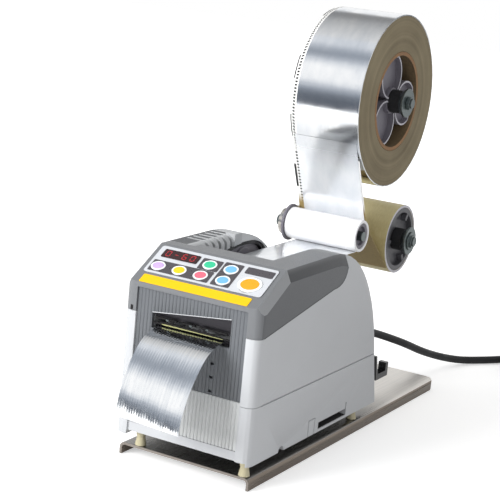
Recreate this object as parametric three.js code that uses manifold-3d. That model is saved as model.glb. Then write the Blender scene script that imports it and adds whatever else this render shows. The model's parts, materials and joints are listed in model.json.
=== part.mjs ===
// Bench-top electric tape dispenser with a stainless feed stand for foil tape
// on a release liner. Millimetres, +Z up, +X to the operator's right. The
// front faces -Y, and the machine's front face is the plane y = 0 until the
// whole part is centred over its footprint at the end.
import * as THREE from "three";
import { mergeVertices } from "three/addons/utils/BufferGeometryUtils.js";
import Module from "manifold-3d";

const wasm = await Module();
wasm.setup();

// Clearances
const seatGap = 0.3;
const touchGap = 0.15;
const bearingGap = 0.08;
const cutMargin = 5;

// Machine body
const bodyWidth = 116;
const bodyDepth = 216;
const bodyHeight = 140;
const frontCornerRadius = 7.5;
const rearCornerRadius = 5;
const edgeBandWidth = 4;
const edgeBandDrop = 8.5;
const slopeFootRise = 117.7;
const slopeAngle = THREE.MathUtils.degToRad(30);
const rearShoulderRise = 65.5;
const rearLean = 15.5;
const topFlatDepth = 112;
const topCurveReach = 48;
const shoulderCurveRise = 40;
const shoulderCurveBack = 10;
const profileCurveSteps = 12;
const cornerStationShares = [0.6, 0.29, 0.08, 0];

// Base channel and feet
const baseWidth = 113;
const baseFront = 7;
const baseRear = 346;
const baseHeight = 9.5;
const baseSheet = 2;
const baseBendRadius = 4.5;
const baseRearCornerRadius = 9;
const footHeight = 10;
const footRadius = 4.4;
const footNeckRadius = 3.2;
const footLeftInset = 17.5;
const footRightInset = 8;
const footFrontSetback = 11;
const footRearSetback = 186;

// Seams between the mouldings
const seamRise = 44.5;
const seamGrooveWidth = 1.2;
const seamGrooveDepth = 1;
const hoodFootRise = 95.5;
const hoodSillDepth = 6;
const hoodSideLength = 112;
const hoodSideRise = 18.6;
const hoodTailDepth = 133;
const hoodTailRise = 131;
const coverFront = 50;
const coverFootRise = 98;

// Front face
const recessWidth = 94;
const recessDepth = 5;
const recessFootRise = 9.8;
const recessTopRise = 114;
const panelSetback = 1.5;
const frontRibPitch = 3;
const frontRibWidth = 0.9;
const frontRibDepth = 0.45;
const lowerRibWidth = 1.1;
const lowerRibDepth = 0.7;
const lipUndercut = 2.8;
const lipSetback = 1.5;
const lipUndercutDepth = 18;
const lipUndercutLeftInset = 10.7;
const lipUndercutRightInset = 3;
const sensorHoleWidth = 3;
const sensorHoleHeight = 2;
const sensorHolePitch = 10.3;
const sensorHoleAside = 20.5;
const sensorHoleRise = 48.6;
const sensorHoleCount = 3;

// Tape outlet and channel
const outletHalfWidth = 33.5;
const outletFootLeftRise = 85.3;
const outletFootRightRise = 84.2;
const outletHeadLeftRise = 97;
const outletHeadRightRise = 105.3;
const channelFootRise = 75.5;
const channelHeadRise = 111.5;
const wellHalfWidth = 31.5;
const wellFront = 58;
const wellRear = 150;
const wellSillRise = 115.5;

// Side details
const slotFront = 109;
const slotLength = 48;
const slotHeight = 5.6;
const slotRise = 2.2;
const slotDepth = 6;
const slitWidth = 1.6;
const slitHeight = 11;
const tabFront = 92;
const tabLength = 11;
const tabHeight = 13.5;
const tabGroove = 0.9;
const tabGrooveDepth = 1;
const notchDepth = 50;
const notchRadius = 4.2;
const notchCut = 7;

// Left side cover with its grip ribs and arched window
const coverEdgeRadius = 7;
const ribCount = 5;
const ribPitch = 8.6;
const ribWidth = 3.4;
const ribCutDepth = 2.2;
const ribFront = 69;
const ribFootRise = 121;
const ribOuterInset = 5;
const latchFront = 108;
const latchLength = 11;
const latchWidth = 9;
const latchHeight = 10;
const latchProud = 1;
const archFront = 91;
const archRear = 162.5;
const archFootRise = 99;
const archShoulderRise = 129.5;
const archTailRise = 119;
const archCrownRise = 134.6;
const archShoulderRun = 6;
const archCurveRun = 28;
const archDepth = 8;
const sealBand = 3.4;
const sealProud = 1;
const sealDepth = 6;
const sidePlateThickness = 3.5;
const sidePlateDepth = 4;
const sideBossRadius = 13;
const sideBossHeight = 1.4;
const sideBossFromFront = 39;
const sideBossRise = 114;

// Control panel on the slope, measured up the slope from its own foot line
const panelFootFromEdge = 11.5;
const overlayMargin = 8;
const overlayLength = 30;
const overlayThickness = 0.6;
const overlayCornerRadius = 2;
const fieldThickness = 0.3;
const fieldCornerRadius = 1;
// Places on the overlay: left and right are shares of its half width, low and
// high are shares of its length.
const fieldShares = {
  key_field_row: { left: -0.95, right: 0.084, low: 0.06, high: 0.46 },
  key_field_single: { left: -0.234, right: 0.106, low: 0.477, high: 0.873 },
  key_field_pair: { left: 0.136, right: 0.448, low: 0.053, high: 0.9 },
  blank_field: { left: 0.512, right: 0.972, low: 0.667, high: 0.9 },
};
const windowShares = { left: -0.906, right: -0.286, low: 0.59, high: 0.887 };
const windowThickness = 0.6;
const stripLeftMargin = 11;
const stripRightMargin = 13;
const stripLength = 8.6;
const stripGap = 2.4;
const stripThickness = 0.3;
const buttonStem = 1.7;
const buttonPocket = 3;
const buttonRingProud = 0.35;
const buttonCapProud = 0.45;
const keyRadius = 5.2;
const keyCapRadius = 4.3;
const startRadius = 8.4;
const startCapRadius = 7.1;
const keySides = 18;
const cornerSteps = 3;
const keyShares = [
  { name: "button_purple", across: -0.82, along: 0.26, tint: 0xc3aae1 },
  { name: "button_yellow", across: -0.456, along: 0.26, tint: 0xfac80a },
  { name: "button_pink", across: -0.09, along: 0.26, tint: 0xfa6e82 },
  { name: "button_green", across: -0.07, along: 0.673, tint: 0x28c391 },
  { name: "button_blue_upper", across: 0.292, along: 0.673, tint: 0x6eb4e1 },
  { name: "button_blue_lower", across: 0.292, along: 0.26, tint: 0x6eb4e1 },
  { name: "button_orange", across: 0.724, along: 0.327, tint: 0xffa500 },
];

// Feed mechanism
const feedRadius = 9;
const pressureRadius = 7;
const rollerShaftRadius = 3;
const rollerShaftSeat = 4;
const rollerHalfLength = 31;
const rollerGrooveDepth = 0.8;
const rollerGrooveWidth = 2;
const rollerGrooveCount = 3;
const nipDepth = 42;
const nipRise = 95.7;
const nipAngle = THREE.MathUtils.degToRad(22.7);
const bladeThickness = 1;
const bladeFront = 6.2;
const bladeFootRise = 92;
const bladeVee = 2;
const bladeHeadRise = 108.5;
const bedHeight = 7;
const bedThickness = 4.5;
const outletBarFront = 2.6;
const outletBarThickness = 1.8;
const outletBarHeight = 2.2;
const outletBarEndHeight = 1.2;
const outletBarLeft = -27;
const outletBarRight = 19;
const clipWidth = 3;
const clipHeight = 3.4;
const clipPlaceShares = [-0.567, -0.15, 0.27];

// Foil tape and liner
const tapeThickness = 0.4;
const foilHalfWidth = 28;
const linerLeft = -33;
const linerRight = 29;
const linerStartRun = 16;
const tapeRise = 88.2;
const tapeLevelDepth = 118;
const tongueTwist = 2.5;
const tongueRootDepth = 5.4;
const tongueReach = 52;
const tongueDrop = 60.2;
const tongueReachShares = [0, 0.104, 0.258, 0.488, 0.7, 0.863, 0.96, 1, 0.988];
const tongueDropShares = [0, 0.002, 0.013, 0.086, 0.203, 0.377, 0.593, 0.792, 1];
const dipDepthShares = [0.79, 0.57, 0.36, 0, -0.36, -0.73];
const dipRiseShares = [0.94, 0.69, 0.39, 0, -0.65, -0.96];
const webSteps = 30;
const wrapSteps = 8;

// Stand
const standPlateLeft = -41;
const standPlateThickness = 3;
const standColumnWidth = 22;
const standArmRadius = 11;
const standFootLength = 64;
const standFootWidth = 30;
const standRoundSteps = 16;

// Supply reel
const supplyDepth = 251.2;
const supplyRise = 265.2;
const supplyRadius = 71.8;
const supplyNear = 30;
const supplyFar = -32;
const supplyFoilFar = -28.5;
const supplyFoilLayer = 0.8;
const coreRadius = 38.2;
const coreWall = 3.2;
const shaftRadius = 4;
const collarStep = 3;
const hubBossRadius = 11;
const hubBossProud = 3.5;
const hubLobeRadius = 18.9;
const hubLobeFlat = 3.6;
const hubLobeTurn = THREE.MathUtils.degToRad(112);
const hubLobeCount = 3;
const hubDeep = 46;
const hubInset = 8;
const hubRimWidth = 1.5;
const hubRimProud = 5;
const frictionRadius = 9.6;
const frictionLength = 9.4;
const flangeRadius = 12;
const flangeLength = 5;
const nutRadius = 6;
const nutLength = 3;
const shaftTip = 1.2;
const nutSides = 6;
const reelSides = 48;
const hubSides = 36;
const roundSides = 20;

// Guide roller
const guideDepth = 207.5;
const guideRise = 156.8;
const guideRadius = 13.2;
const guideFar = -34;
const guideNear = 32;
const guideBore = 10.8;
const guideCapDeep = 5;
const guideCapInset = 1;
const guideFlangeRadius = 15.4;
const guideFlangeThickness = 1.6;
const guideShaftRadius = 4;
const guideShaftTip = 1.5;
const guideKnobRadius = 4.6;
const guideKnobLength = 5;

// Take-up reel
const takeupDepth = 290.6;
const takeupRise = 142.4;
const takeupRadius = 30;
const takeupHalfWidth = 30;
const takeupHubRadius = 27.6;
const takeupWeb = 4;
const takeupDish = 5;
const takeupPinRadius = 1.6;
const takeupPinCircle = 19;
const takeupPinCount = 3;
const takeupWasherRadius = 8;

// Rear hook, strain relief and cord
const hookInset = 1;
const hookWidth = 7;
const hookFootRise = 18;
const hookHeight = 22;
const hookPlate = 3.5;
const hookReach = 22.5;
const hookArm = 5;
const hookTipHeight = 12;
const reliefRise = 52.3;
const reliefLength = 24;
const reliefSeat = 4;
const reliefRadius = 6.6;
const reliefTipRadius = 4.6;
const cordRadius = 3.5;
const cordSides = 8;
const cordSteps = 44;
const cordFloorLift = 0.15;
const cordRoute = [
  [2, 248, 66.4], [11, 300, 51.5], [22, 340, 37], [29.5, 380, 21], [37, 416, 9.5], [46, 438, 4.6],
  [60, 457, 3.65], [74, 476, 3.65], [85, 495, 3.65],
];
const coilOuterRadius = 48;
const coilPitch = 7.8;
const coilLayerTurns = 3.12;
const coilTurnSteps = 24;
const coilSides = 6;
const coilRampTurns = 0.2;
const coilTailLength = 38;
const plugLength = 34;
const plugWidth = 24;
const plugCornerRadius = 5;
const plugPinLength = 17;
const plugPinWidth = 6.3;
const plugPinThickness = 1.6;
const plugPinSpacing = 12.7;
const plugNeckLength = 14;

// Places worked out from the sizes above
const halfWidth = bodyWidth / 2;
const footLeft = footLeftInset - halfWidth;
const footRight = halfWidth - footRightInset;
const overlayHalfWidth = halfWidth - overlayMargin;
const bodyFloor = baseHeight + footHeight;
const bodyTop = bodyFloor + bodyHeight;
const slopeFoot = bodyFloor + slopeFootRise;
const slopeHeadDepth = (bodyTop - slopeFoot) / Math.tan(slopeAngle);
const tapeLevel = bodyFloor + tapeRise;
const seamLevel = bodyFloor + seamRise;
const shoulderLevel = bodyFloor + rearShoulderRise;
const coreInner = coreRadius;
const coreOuter = coreRadius + coreWall;

const keys = keyShares.map((key) => ({
  name: key.name,
  tint: key.tint,
  across: key.across * overlayHalfWidth,
  along: key.along * overlayLength,
}));

// Helpers for geometry

// A closed, outward-facing solid from any closed three.js geometry.
function solid(geometry) {
  const loose = geometry.index ? geometry.toNonIndexed() : geometry;
  const bare = new THREE.BufferGeometry();
  bare.setAttribute("position", loose.getAttribute("position"));
  const welded = mergeVertices(bare);
  const vertices = new Float32Array(welded.getAttribute("position").array);
  const triangles = new Uint32Array(welded.index.array);
  if (signedVolume(vertices, triangles) < 0) {
    triangles.reverse();
  }
  return new wasm.Manifold(new wasm.Mesh({ numProp: 3, vertProperties: vertices, triVerts: triangles }));
}

function signedVolume(vertices, triangles) {
  const [a, b, c] = [new THREE.Vector3(), new THREE.Vector3(), new THREE.Vector3()];
  let total = 0;
  for (let i = 0; i < triangles.length; i += 3) {
    a.fromArray(vertices, triangles[i] * 3);
    b.fromArray(vertices, triangles[i + 1] * 3);
    c.fromArray(vertices, triangles[i + 2] * 3);
    total += a.dot(b.cross(c));
  }
  return total;
}

function geometryOf(body) {
  const { vertProperties, triVerts } = body.getMesh();
  const geometry = new THREE.BufferGeometry();
  geometry.setAttribute("position", new THREE.BufferAttribute(vertProperties, 3));
  geometry.setIndex(new THREE.BufferAttribute(triVerts, 1));
  geometry.computeVertexNormals();
  return geometry;
}

function piece(name, body, color, roughness, metalness = 0) {
  const material = new THREE.MeshStandardMaterial({ color, roughness, metalness });
  const mesh = new THREE.Mesh(geometryOf(body), material);
  mesh.name = name;
  return mesh;
}

function outline(points) {
  return new THREE.Shape(points.map(([x, y]) => new THREE.Vector2(x, y)));
}

function extruded(shape, depth, curveSegments) {
  return new THREE.ExtrudeGeometry(shape, { depth, bevelEnabled: false, curveSegments });
}

// A shape drawn in (y, z) and run across the machine from x = from to x = to.
function across(shape, from, to, curveSegments = 8) {
  const geometry = extruded(shape, to - from, curveSegments);
  const turn = new THREE.Matrix4().makeBasis(
    new THREE.Vector3(0, 1, 0),
    new THREE.Vector3(0, 0, 1),
    new THREE.Vector3(1, 0, 0),
  );
  return solid(geometry.applyMatrix4(turn).translate(from, 0, 0));
}

// A shape drawn in (x, z) and run front to back from y = from to y = to.
function backward(shape, from, to, curveSegments = 8) {
  return solid(extruded(shape, to - from, curveSegments).rotateX(Math.PI / 2).translate(0, to, 0));
}

// A shape drawn in (x, y) and run upward from z = from to z = to.
function upward(shape, from, to, curveSegments = 8) {
  return solid(extruded(shape, to - from, curveSegments).translate(0, 0, from));
}

function block(left, right, front, rear, foot, head) {
  return upward(outline([[left, front], [right, front], [right, rear], [left, rear]]), foot, head);
}

// A profile of [radius, x] points turned about the X axis.
function turned(profile, sides, depth = 0, rise = 0) {
  const points = profile.map(([radius, x]) => new THREE.Vector2(radius, x));
  const geometry = new THREE.LatheGeometry(points, sides).rotateZ(-Math.PI / 2).rotateX(Math.PI / 2);
  return solid(geometry.translate(0, depth, rise));
}

function disc(radius, from, to, sides, depth, rise) {
  return turned([[0, from], [radius, from], [radius, to], [0, to]], sides, depth, rise);
}

function tube(outer, inner, from, to, sides, depth, rise) {
  const profile = [[inner, from], [outer, from], [outer, to], [inner, to], [inner, from]];
  return turned(profile, sides, depth, rise);
}

function arcPoints(x, y, radius, from, to, steps) {
  const points = [];
  for (let i = 0; i <= steps; i += 1) {
    const angle = from + ((to - from) * i) / steps;
    points.push([x + Math.cos(angle) * radius, y + Math.sin(angle) * radius]);
  }
  return points;
}

function roundedRectangle(left, right, low, high, radius) {
  const quarter = Math.PI / 2;
  const corners = [[right, low, -1, 1], [right, high, -1, -1], [left, high, 1, -1], [left, low, 1, 1]];
  return outline(corners.flatMap(([x, y, inX, inY], i) => {
    const from = (i - 1) * quarter;
    return arcPoints(x + inX * radius, y + inY * radius, radius, from, from + quarter, cornerSteps);
  }));
}

// A skin through closed outlines of equal point count at rising x.
function skinAcross(stations) {
  const count = stations[0].outline.length;
  const positions = [];
  const indices = [];
  for (const station of stations) {
    for (const point of station.outline) {
      positions.push(station.x, point.x, point.y);
    }
  }
  for (let s = 0; s + 1 < stations.length; s += 1) {
    for (let i = 0; i < count; i += 1) {
      const near = s * count;
      const far = near + count;
      const next = (i + 1) % count;
      indices.push(near + i, near + next, far + next, near + i, far + next, far + i);
    }
  }
  const cap = THREE.ShapeUtils.triangulateShape(stations[0].outline, []);
  const last = (stations.length - 1) * count;
  for (const [a, b, c] of cap) {
    indices.push(c, b, a, last + a, last + b, last + c);
  }
  const geometry = new THREE.BufferGeometry();
  geometry.setAttribute("position", new THREE.Float32BufferAttribute(positions, 3));
  geometry.setIndex(indices);
  return solid(geometry);
}

// A thin strip that follows a (y, z) route between two x edges. The twist
// moves the left edge back and the right edge forward by the route's share.
function ribbon(route, left, right, thickness, twist = 0) {
  const half = thickness / 2;
  const positions = [];
  const indices = [];
  route.forEach((point, i) => {
    const before = route[Math.max(i - 1, 0)];
    const after = route[Math.min(i + 1, route.length - 1)];
    const along = new THREE.Vector2().subVectors(after, before).normalize();
    const normal = new THREE.Vector2(-along.y, along.x).multiplyScalar(half);
    const shift = twist * (i / (route.length - 1)) ** 2;
    positions.push(left, point.x + normal.x + shift, point.y + normal.y);
    positions.push(right, point.x + normal.x - shift, point.y + normal.y);
    positions.push(right, point.x - normal.x - shift, point.y - normal.y);
    positions.push(left, point.x - normal.x + shift, point.y - normal.y);
  });
  const corners = 4;
  for (let i = 0; i + 1 < route.length; i += 1) {
    for (let k = 0; k < corners; k += 1) {
      const a = i * corners + k;
      const b = i * corners + ((k + 1) % corners);
      indices.push(a, b, b + corners, a, b + corners, a + corners);
    }
  }
  const last = (route.length - 1) * corners;
  indices.push(0, 2, 1, 0, 3, 2, last, last + 1, last + 2, last, last + 2, last + 3);
  const geometry = new THREE.BufferGeometry();
  geometry.setAttribute("position", new THREE.Float32BufferAttribute(positions, 3));
  geometry.setIndex(indices);
  return solid(geometry);
}

function ringShape(radius, sides) {
  return outline(arcPoints(0, 0, radius, 0, Math.PI * 2, sides).slice(1));
}

function cordAlong(curve, radius, sides, steps) {
  const shape = ringShape(radius, sides);
  return solid(new THREE.ExtrudeGeometry(shape, { steps, extrudePath: curve, bevelEnabled: false }));
}

// The machine's outer form

// The side outline, drawn in (y, z), with its front, top and rear moved in.
function sideOutline(frontInset, topInset, rearInset) {
  const points = [
    new THREE.Vector2(frontInset, bodyFloor),
    new THREE.Vector2(bodyDepth - rearInset, bodyFloor),
  ];
  const shoulder = new THREE.Vector2(bodyDepth - rearLean - rearInset, shoulderLevel - topInset);
  const crown = new THREE.CubicBezierCurve(
    shoulder,
    new THREE.Vector2(shoulder.x - shoulderCurveBack, shoulder.y + shoulderCurveRise),
    new THREE.Vector2(topFlatDepth + topCurveReach - rearInset, bodyTop - topInset),
    new THREE.Vector2(topFlatDepth, bodyTop - topInset),
  );
  points.push(...crown.getPoints(profileCurveSteps));
  points.push(new THREE.Vector2(slopeHeadDepth, bodyTop - topInset));
  points.push(new THREE.Vector2(frontInset, slopeFoot + frontInset * Math.tan(slopeAngle) - topInset));
  return points;
}

function cornerInset(x, radius) {
  const over = Math.max(Math.abs(x) - (halfWidth - radius), 0);
  return radius - Math.sqrt(Math.max(radius * radius - over * over, 0));
}

function bodyForm() {
  const bandStart = halfWidth - edgeBandWidth;
  const frontStart = halfWidth - frontCornerRadius;
  const half = [halfWidth - rearCornerRadius, frontStart, bandStart];
  half.push(...cornerStationShares.map((share) => halfWidth - share * frontCornerRadius));
  const rising = [...new Set(half)].sort((a, b) => a - b);
  const places = [...rising.map((x) => -x).reverse(), ...rising];
  return skinAcross(places.map((x) => {
    const band = Math.max(Math.abs(x) - bandStart, 0) / edgeBandWidth;
    const insets = [cornerInset(x, frontCornerRadius), band * edgeBandDrop, cornerInset(x, rearCornerRadius)];
    return { x, outline: sideOutline(...insets) };
  }));
}

// Where the hood's side edge runs, grown outward by a clearance.
function hoodZone(clearance) {
  const foot = bodyFloor + hoodFootRise - clearance;
  const sideEnd = foot + hoodSideRise;
  const tail = hoodTailDepth + clearance;
  const shape = new THREE.Shape();
  shape.moveTo(-cutMargin, foot);
  shape.lineTo(hoodSillDepth, foot);
  shape.lineTo(hoodSideLength, sideEnd);
  shape.quadraticCurveTo(tail, sideEnd + clearance, tail, bodyFloor + hoodTailRise);
  shape.lineTo(tail, bodyTop + cutMargin);
  shape.lineTo(-cutMargin, bodyTop + cutMargin);
  return across(shape, -halfWidth - cutMargin, halfWidth + cutMargin);
}

function coverZone(clearance) {
  const right = -wellHalfWidth + clearance;
  const front = coverFront - clearance;
  const foot = bodyFloor + coverFootRise - clearance;
  return block(-halfWidth - cutMargin, right, front, bodyDepth + cutMargin, foot, bodyTop + cutMargin);
}

// The open path of the tape: the channel behind the outlet and the well.
function tapeSpace() {
  const channelFoot = bodyFloor + channelFootRise;
  const channelHead = bodyFloor + channelHeadRise;
  const front = block(-outletHalfWidth, outletHalfWidth, -cutMargin, wellFront, channelFoot, channelHead);
  const sill = bodyFloor + wellSillRise;
  const far = bodyDepth + cutMargin;
  const well = outline([
    [wellFront - cutMargin, channelFoot], [wellRear, channelFoot], [wellRear, sill], [far, sill],
    [far, bodyTop + cutMargin], [wellFront, bodyTop + cutMargin], [wellFront, channelHead],
    [wellFront - cutMargin, channelHead],
  ]);
  return front.add(across(well, -wellHalfWidth, wellHalfWidth));
}

function frontRecess() {
  const half = recessWidth / 2;
  return block(-half, half, -cutMargin, recessDepth, bodyFloor + recessFootRise, bodyFloor + recessTopRise);
}

const nipPlace = new THREE.Vector2(nipDepth, bodyFloor + nipRise);
const rollerOffset = tapeThickness / 2 + seatGap;
const feedPlace = new THREE.Vector2(
  nipPlace.x + Math.sin(nipAngle) * (feedRadius + rollerOffset),
  nipPlace.y - Math.cos(nipAngle) * (feedRadius + rollerOffset),
);
const pressurePlace = new THREE.Vector2(
  nipPlace.x - Math.sin(nipAngle) * (pressureRadius + rollerOffset),
  nipPlace.y + Math.cos(nipAngle) * (pressureRadius + rollerOffset),
);

function rollerBores() {
  const reach = outletHalfWidth + rollerShaftSeat + seatGap;
  const radius = rollerShaftRadius + bearingGap;
  const feed = disc(radius, -reach, reach, roundSides, feedPlace.x, feedPlace.y);
  return feed.add(disc(radius, -reach, reach, roundSides, pressurePlace.x, pressurePlace.y));
}

// A rounded field on the overlay, from its shares of the overlay's size.
function overlayRectangle({ left, right, low, high }) {
  const half = overlayHalfWidth;
  const length = overlayLength;
  return roundedRectangle(left * half, right * half, low * length, high * length, fieldCornerRadius);
}

// The panel's own frame: x across, y up the slope, z out of the slope.
function panelFrame() {
  const frame = new THREE.Object3D();
  const along = panelFootFromEdge * Math.cos(slopeAngle);
  frame.position.set(0, along, slopeFoot + panelFootFromEdge * Math.sin(slopeAngle));
  frame.rotation.x = slopeAngle;
  frame.updateMatrix();
  return frame;
}

function keySize(key) {
  return key.name === "button_orange"
    ? { rim: startRadius, cap: startCapRadius }
    : { rim: keyRadius, cap: keyCapRadius };
}

// The round openings for all keys, in the panel's frame, from one level to another.
function keyBores(from, to) {
  const bores = keys.map((key) => {
    const geometry = extruded(ringShape(keySize(key).rim + seatGap, keySides), to - from);
    return solid(geometry.translate(key.across, key.along, from));
  });
  return bores.reduce((all, bore) => all.add(bore));
}

function keyPockets() {
  return solid(geometryOf(keyBores(-buttonPocket, cutMargin)).applyMatrix4(panelFrame().matrix));
}

// Mouldings of the housing

function archShape(inset) {
  const rear = archRear - inset;
  const shoulder = new THREE.Vector2(archFront + archShoulderRun, bodyFloor + archShoulderRise - inset);
  const crown = bodyFloor + archCrownRise - inset;
  const tail = bodyFloor + archTailRise;
  const shape = new THREE.Shape();
  shape.moveTo(archFront + inset, bodyFloor + archFootRise + inset);
  shape.lineTo(rear, bodyFloor + archFootRise + inset);
  shape.lineTo(rear, tail);
  shape.bezierCurveTo(
    rear - archShoulderRun, crown, shoulder.x + archCurveRun, crown, shoulder.x + inset, shoulder.y,
  );
  shape.lineTo(archFront + inset, shoulder.y - archShoulderRun);
  return shape;
}

function coverSection(inset) {
  const right = -wellHalfWidth - inset;
  const head = bodyTop - inset;
  const radius = coverEdgeRadius;
  const shape = new THREE.Shape();
  shape.moveTo(-halfWidth - cutMargin, bodyFloor);
  shape.lineTo(right, bodyFloor);
  shape.lineTo(right, head - radius);
  shape.absarc(right - radius, head - radius, radius, 0, Math.PI / 2, false);
  shape.lineTo(-halfWidth - cutMargin, head);
  return shape;
}

function leftCover(form) {
  const rear = bodyDepth + cutMargin;
  let cover = form.intersect(coverZone(0)).intersect(backward(coverSection(0), 0, rear));
  const inner = backward(coverSection(ribCutDepth), 0, rear);
  for (let i = 0; i < ribCount; i += 1) {
    const front = ribFront + i * ribPitch;
    const left = -halfWidth + ribOuterInset;
    const band = block(left, 0, front, front + ribWidth, bodyFloor + ribFootRise, bodyTop + cutMargin);
    cover = cover.subtract(band.subtract(inner));
  }
  const latchRight = -wellHalfWidth + latchProud;
  const latchHead = bodyTop + latchProud;
  const latchRear = latchFront + latchLength;
  const latchFoot = latchHead - latchHeight;
  const latch = block(latchRight - latchWidth, latchRight, latchFront, latchRear, latchFoot, latchHead);
  const window = across(archShape(0), -wellHalfWidth - archDepth, 0, profileCurveSteps);
  return cover.subtract(window).add(latch.subtract(window));
}

function sideSlot() {
  const rear = slotFront + slotLength;
  const foot = bodyFloor + slotRise;
  const left = halfWidth - slotDepth;
  const right = halfWidth + cutMargin;
  const opening = block(left, right, slotFront, rear, foot, foot + slotHeight);
  return opening.add(block(left, right, rear - slitWidth, rear, foot, foot + slitHeight));
}

function sideTab() {
  const left = halfWidth - tabGrooveDepth;
  const right = halfWidth + cutMargin;
  const head = bodyFloor + tabHeight;
  const foot = bodyFloor - cutMargin;
  const rear = tabFront + tabLength;
  const whole = block(left, right, tabFront, rear, foot, head);
  const inner = block(left - cutMargin, right + cutMargin, tabFront + tabGroove, rear - tabGroove, foot - cutMargin,
    head - tabGroove);
  return whole.subtract(inner);
}

function lowerCase(form) {
  const far = bodyDepth + cutMargin;
  const wide = halfWidth + cutMargin;
  const below = block(-wide, wide, -cutMargin, far, 0, seamLevel - touchGap);
  const lipFoot = bodyFloor + lipUndercut;
  const undercutLeft = lipUndercutLeftInset - halfWidth;
  const undercutRight = halfWidth - lipUndercutRightInset;
  const undercut = block(undercutLeft, undercutRight, -cutMargin, lipUndercutDepth, 0, lipFoot);
  const half = recessWidth / 2;
  const lipFace = block(-half, half, -cutMargin, lipSetback, 0, bodyFloor + recessFootRise + touchGap);
  const notch = disc(notchRadius, halfWidth - notchCut, halfWidth + cutMargin, roundSides, notchDepth, bodyFloor);
  const groove = seamGroove(seamLevel - seamGrooveWidth / 2, seamLevel);
  return form.intersect(below).subtract(frontRecess()).subtract(undercut).subtract(lipFace)
    .subtract(sideSlot()).subtract(sideTab()).subtract(notch).subtract(groove);
}

// A shallow groove along both sides and the rear, from behind the corner posts.
function seamGroove(foot, head) {
  const wide = halfWidth + cutMargin;
  const far = bodyDepth + cutMargin;
  const front = frontCornerRadius + edgeBandWidth;
  const outer = block(-wide, wide, front, far, foot, head);
  const inner = block(-halfWidth + seamGrooveDepth, halfWidth - seamGrooveDepth, front - cutMargin,
    bodyDepth - rearLean, foot - cutMargin, head + cutMargin);
  return outer.subtract(inner);
}

function upperCase(form) {
  const far = bodyDepth + cutMargin;
  const wide = halfWidth + cutMargin;
  const above = block(-wide, wide, -cutMargin, far, seamLevel + touchGap, bodyTop + cutMargin);
  const groove = seamGroove(seamLevel, seamLevel + seamGrooveWidth / 2);
  return form.intersect(above).subtract(hoodZone(seatGap)).subtract(coverZone(seatGap))
    .subtract(frontRecess()).subtract(tapeSpace()).subtract(rollerBores())
    .subtract(reliefSocket()).subtract(groove);
}

function hoodBody(form) {
  return form.intersect(hoodZone(0)).subtract(coverZone(seatGap)).subtract(frontRecess())
    .subtract(tapeSpace()).subtract(rollerBores()).subtract(keyPockets());
}

// A ribbed front panel: a plan outline with grooves, run upward.
function ribbedPanel(ribWidthHere, ribDepthHere, foot, head) {
  const half = recessWidth / 2 - seatGap;
  const back = recessDepth - seatGap;
  const points = [[half, back], [-half, back], [-half, panelSetback]];
  const count = Math.floor((half * 2 - frontRibPitch) / frontRibPitch);
  const start = (-(count - 1) * frontRibPitch) / 2;
  for (let i = 0; i < count; i += 1) {
    const middle = start + i * frontRibPitch;
    points.push([middle - ribWidthHere / 2, panelSetback], [middle, panelSetback + ribDepthHere]);
    points.push([middle + ribWidthHere / 2, panelSetback]);
  }
  points.push([half, panelSetback]);
  return upward(outline(points), foot, head);
}

function frontPanel() {
  const foot = seamLevel + recessDepth / 2;
  const panel = ribbedPanel(frontRibWidth, frontRibDepth, foot, bodyFloor + recessTopRise - seatGap);
  const outlet = outline([
    [-outletHalfWidth, bodyFloor + outletFootLeftRise], [outletHalfWidth, bodyFloor + outletFootRightRise],
    [outletHalfWidth, bodyFloor + outletHeadRightRise], [-outletHalfWidth, bodyFloor + outletHeadLeftRise],
  ]);
  let cut = panel.subtract(backward(outlet, -cutMargin, recessDepth + cutMargin));
  for (let i = 0; i < sensorHoleCount; i += 1) {
    const low = bodyFloor + sensorHoleRise + i * sensorHolePitch;
    const right = sensorHoleAside + sensorHoleWidth / 2;
    cut = cut.subtract(block(right - sensorHoleWidth, right, -cutMargin, recessDepth, low, low + sensorHoleHeight));
  }
  return cut;
}

function lowerFrontPanel() {
  const head = seamLevel + recessDepth / 2 - seatGap;
  return ribbedPanel(lowerRibWidth, lowerRibDepth, bodyFloor + recessFootRise + seatGap, head);
}

// Base and stand

function basePlate() {
  const half = baseWidth / 2;
  const inner = baseBendRadius - baseSheet;
  const bend = half - baseBendRadius;
  const level = baseHeight - baseBendRadius;
  const shape = new THREE.Shape();
  shape.moveTo(-half, 0);
  shape.lineTo(-half + baseSheet, 0);
  shape.lineTo(-half + baseSheet, level);
  shape.absarc(-bend, level, inner, Math.PI, Math.PI / 2, true);
  shape.lineTo(bend, baseHeight - baseSheet);
  shape.absarc(bend, level, inner, Math.PI / 2, 0, true);
  shape.lineTo(half - baseSheet, 0);
  shape.lineTo(half, 0);
  shape.lineTo(half, level);
  shape.absarc(bend, level, baseBendRadius, 0, Math.PI / 2, false);
  shape.lineTo(-bend, baseHeight);
  shape.absarc(-bend, level, baseBendRadius, Math.PI / 2, Math.PI, false);
  const channel = backward(shape, baseFront, baseRear, 6);
  const plan = roundedRectangle(-half, half, baseFront - cutMargin * 3, baseRear, baseRearCornerRadius);
  return channel.intersect(upward(plan, -cutMargin, baseHeight + cutMargin));
}

function foot(aside, depth) {
  const low = baseHeight + touchGap;
  const high = bodyFloor - touchGap;
  const waist = (low + high) / 2;
  const profile = [[0, low], [footRadius, low], [footNeckRadius, waist], [footRadius, high], [0, high]];
  const points = profile.map(([radius, z]) => new THREE.Vector2(radius, z));
  const geometry = new THREE.LatheGeometry(points, roundSides).rotateX(Math.PI / 2);
  return solid(geometry.translate(aside, depth, 0));
}

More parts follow.
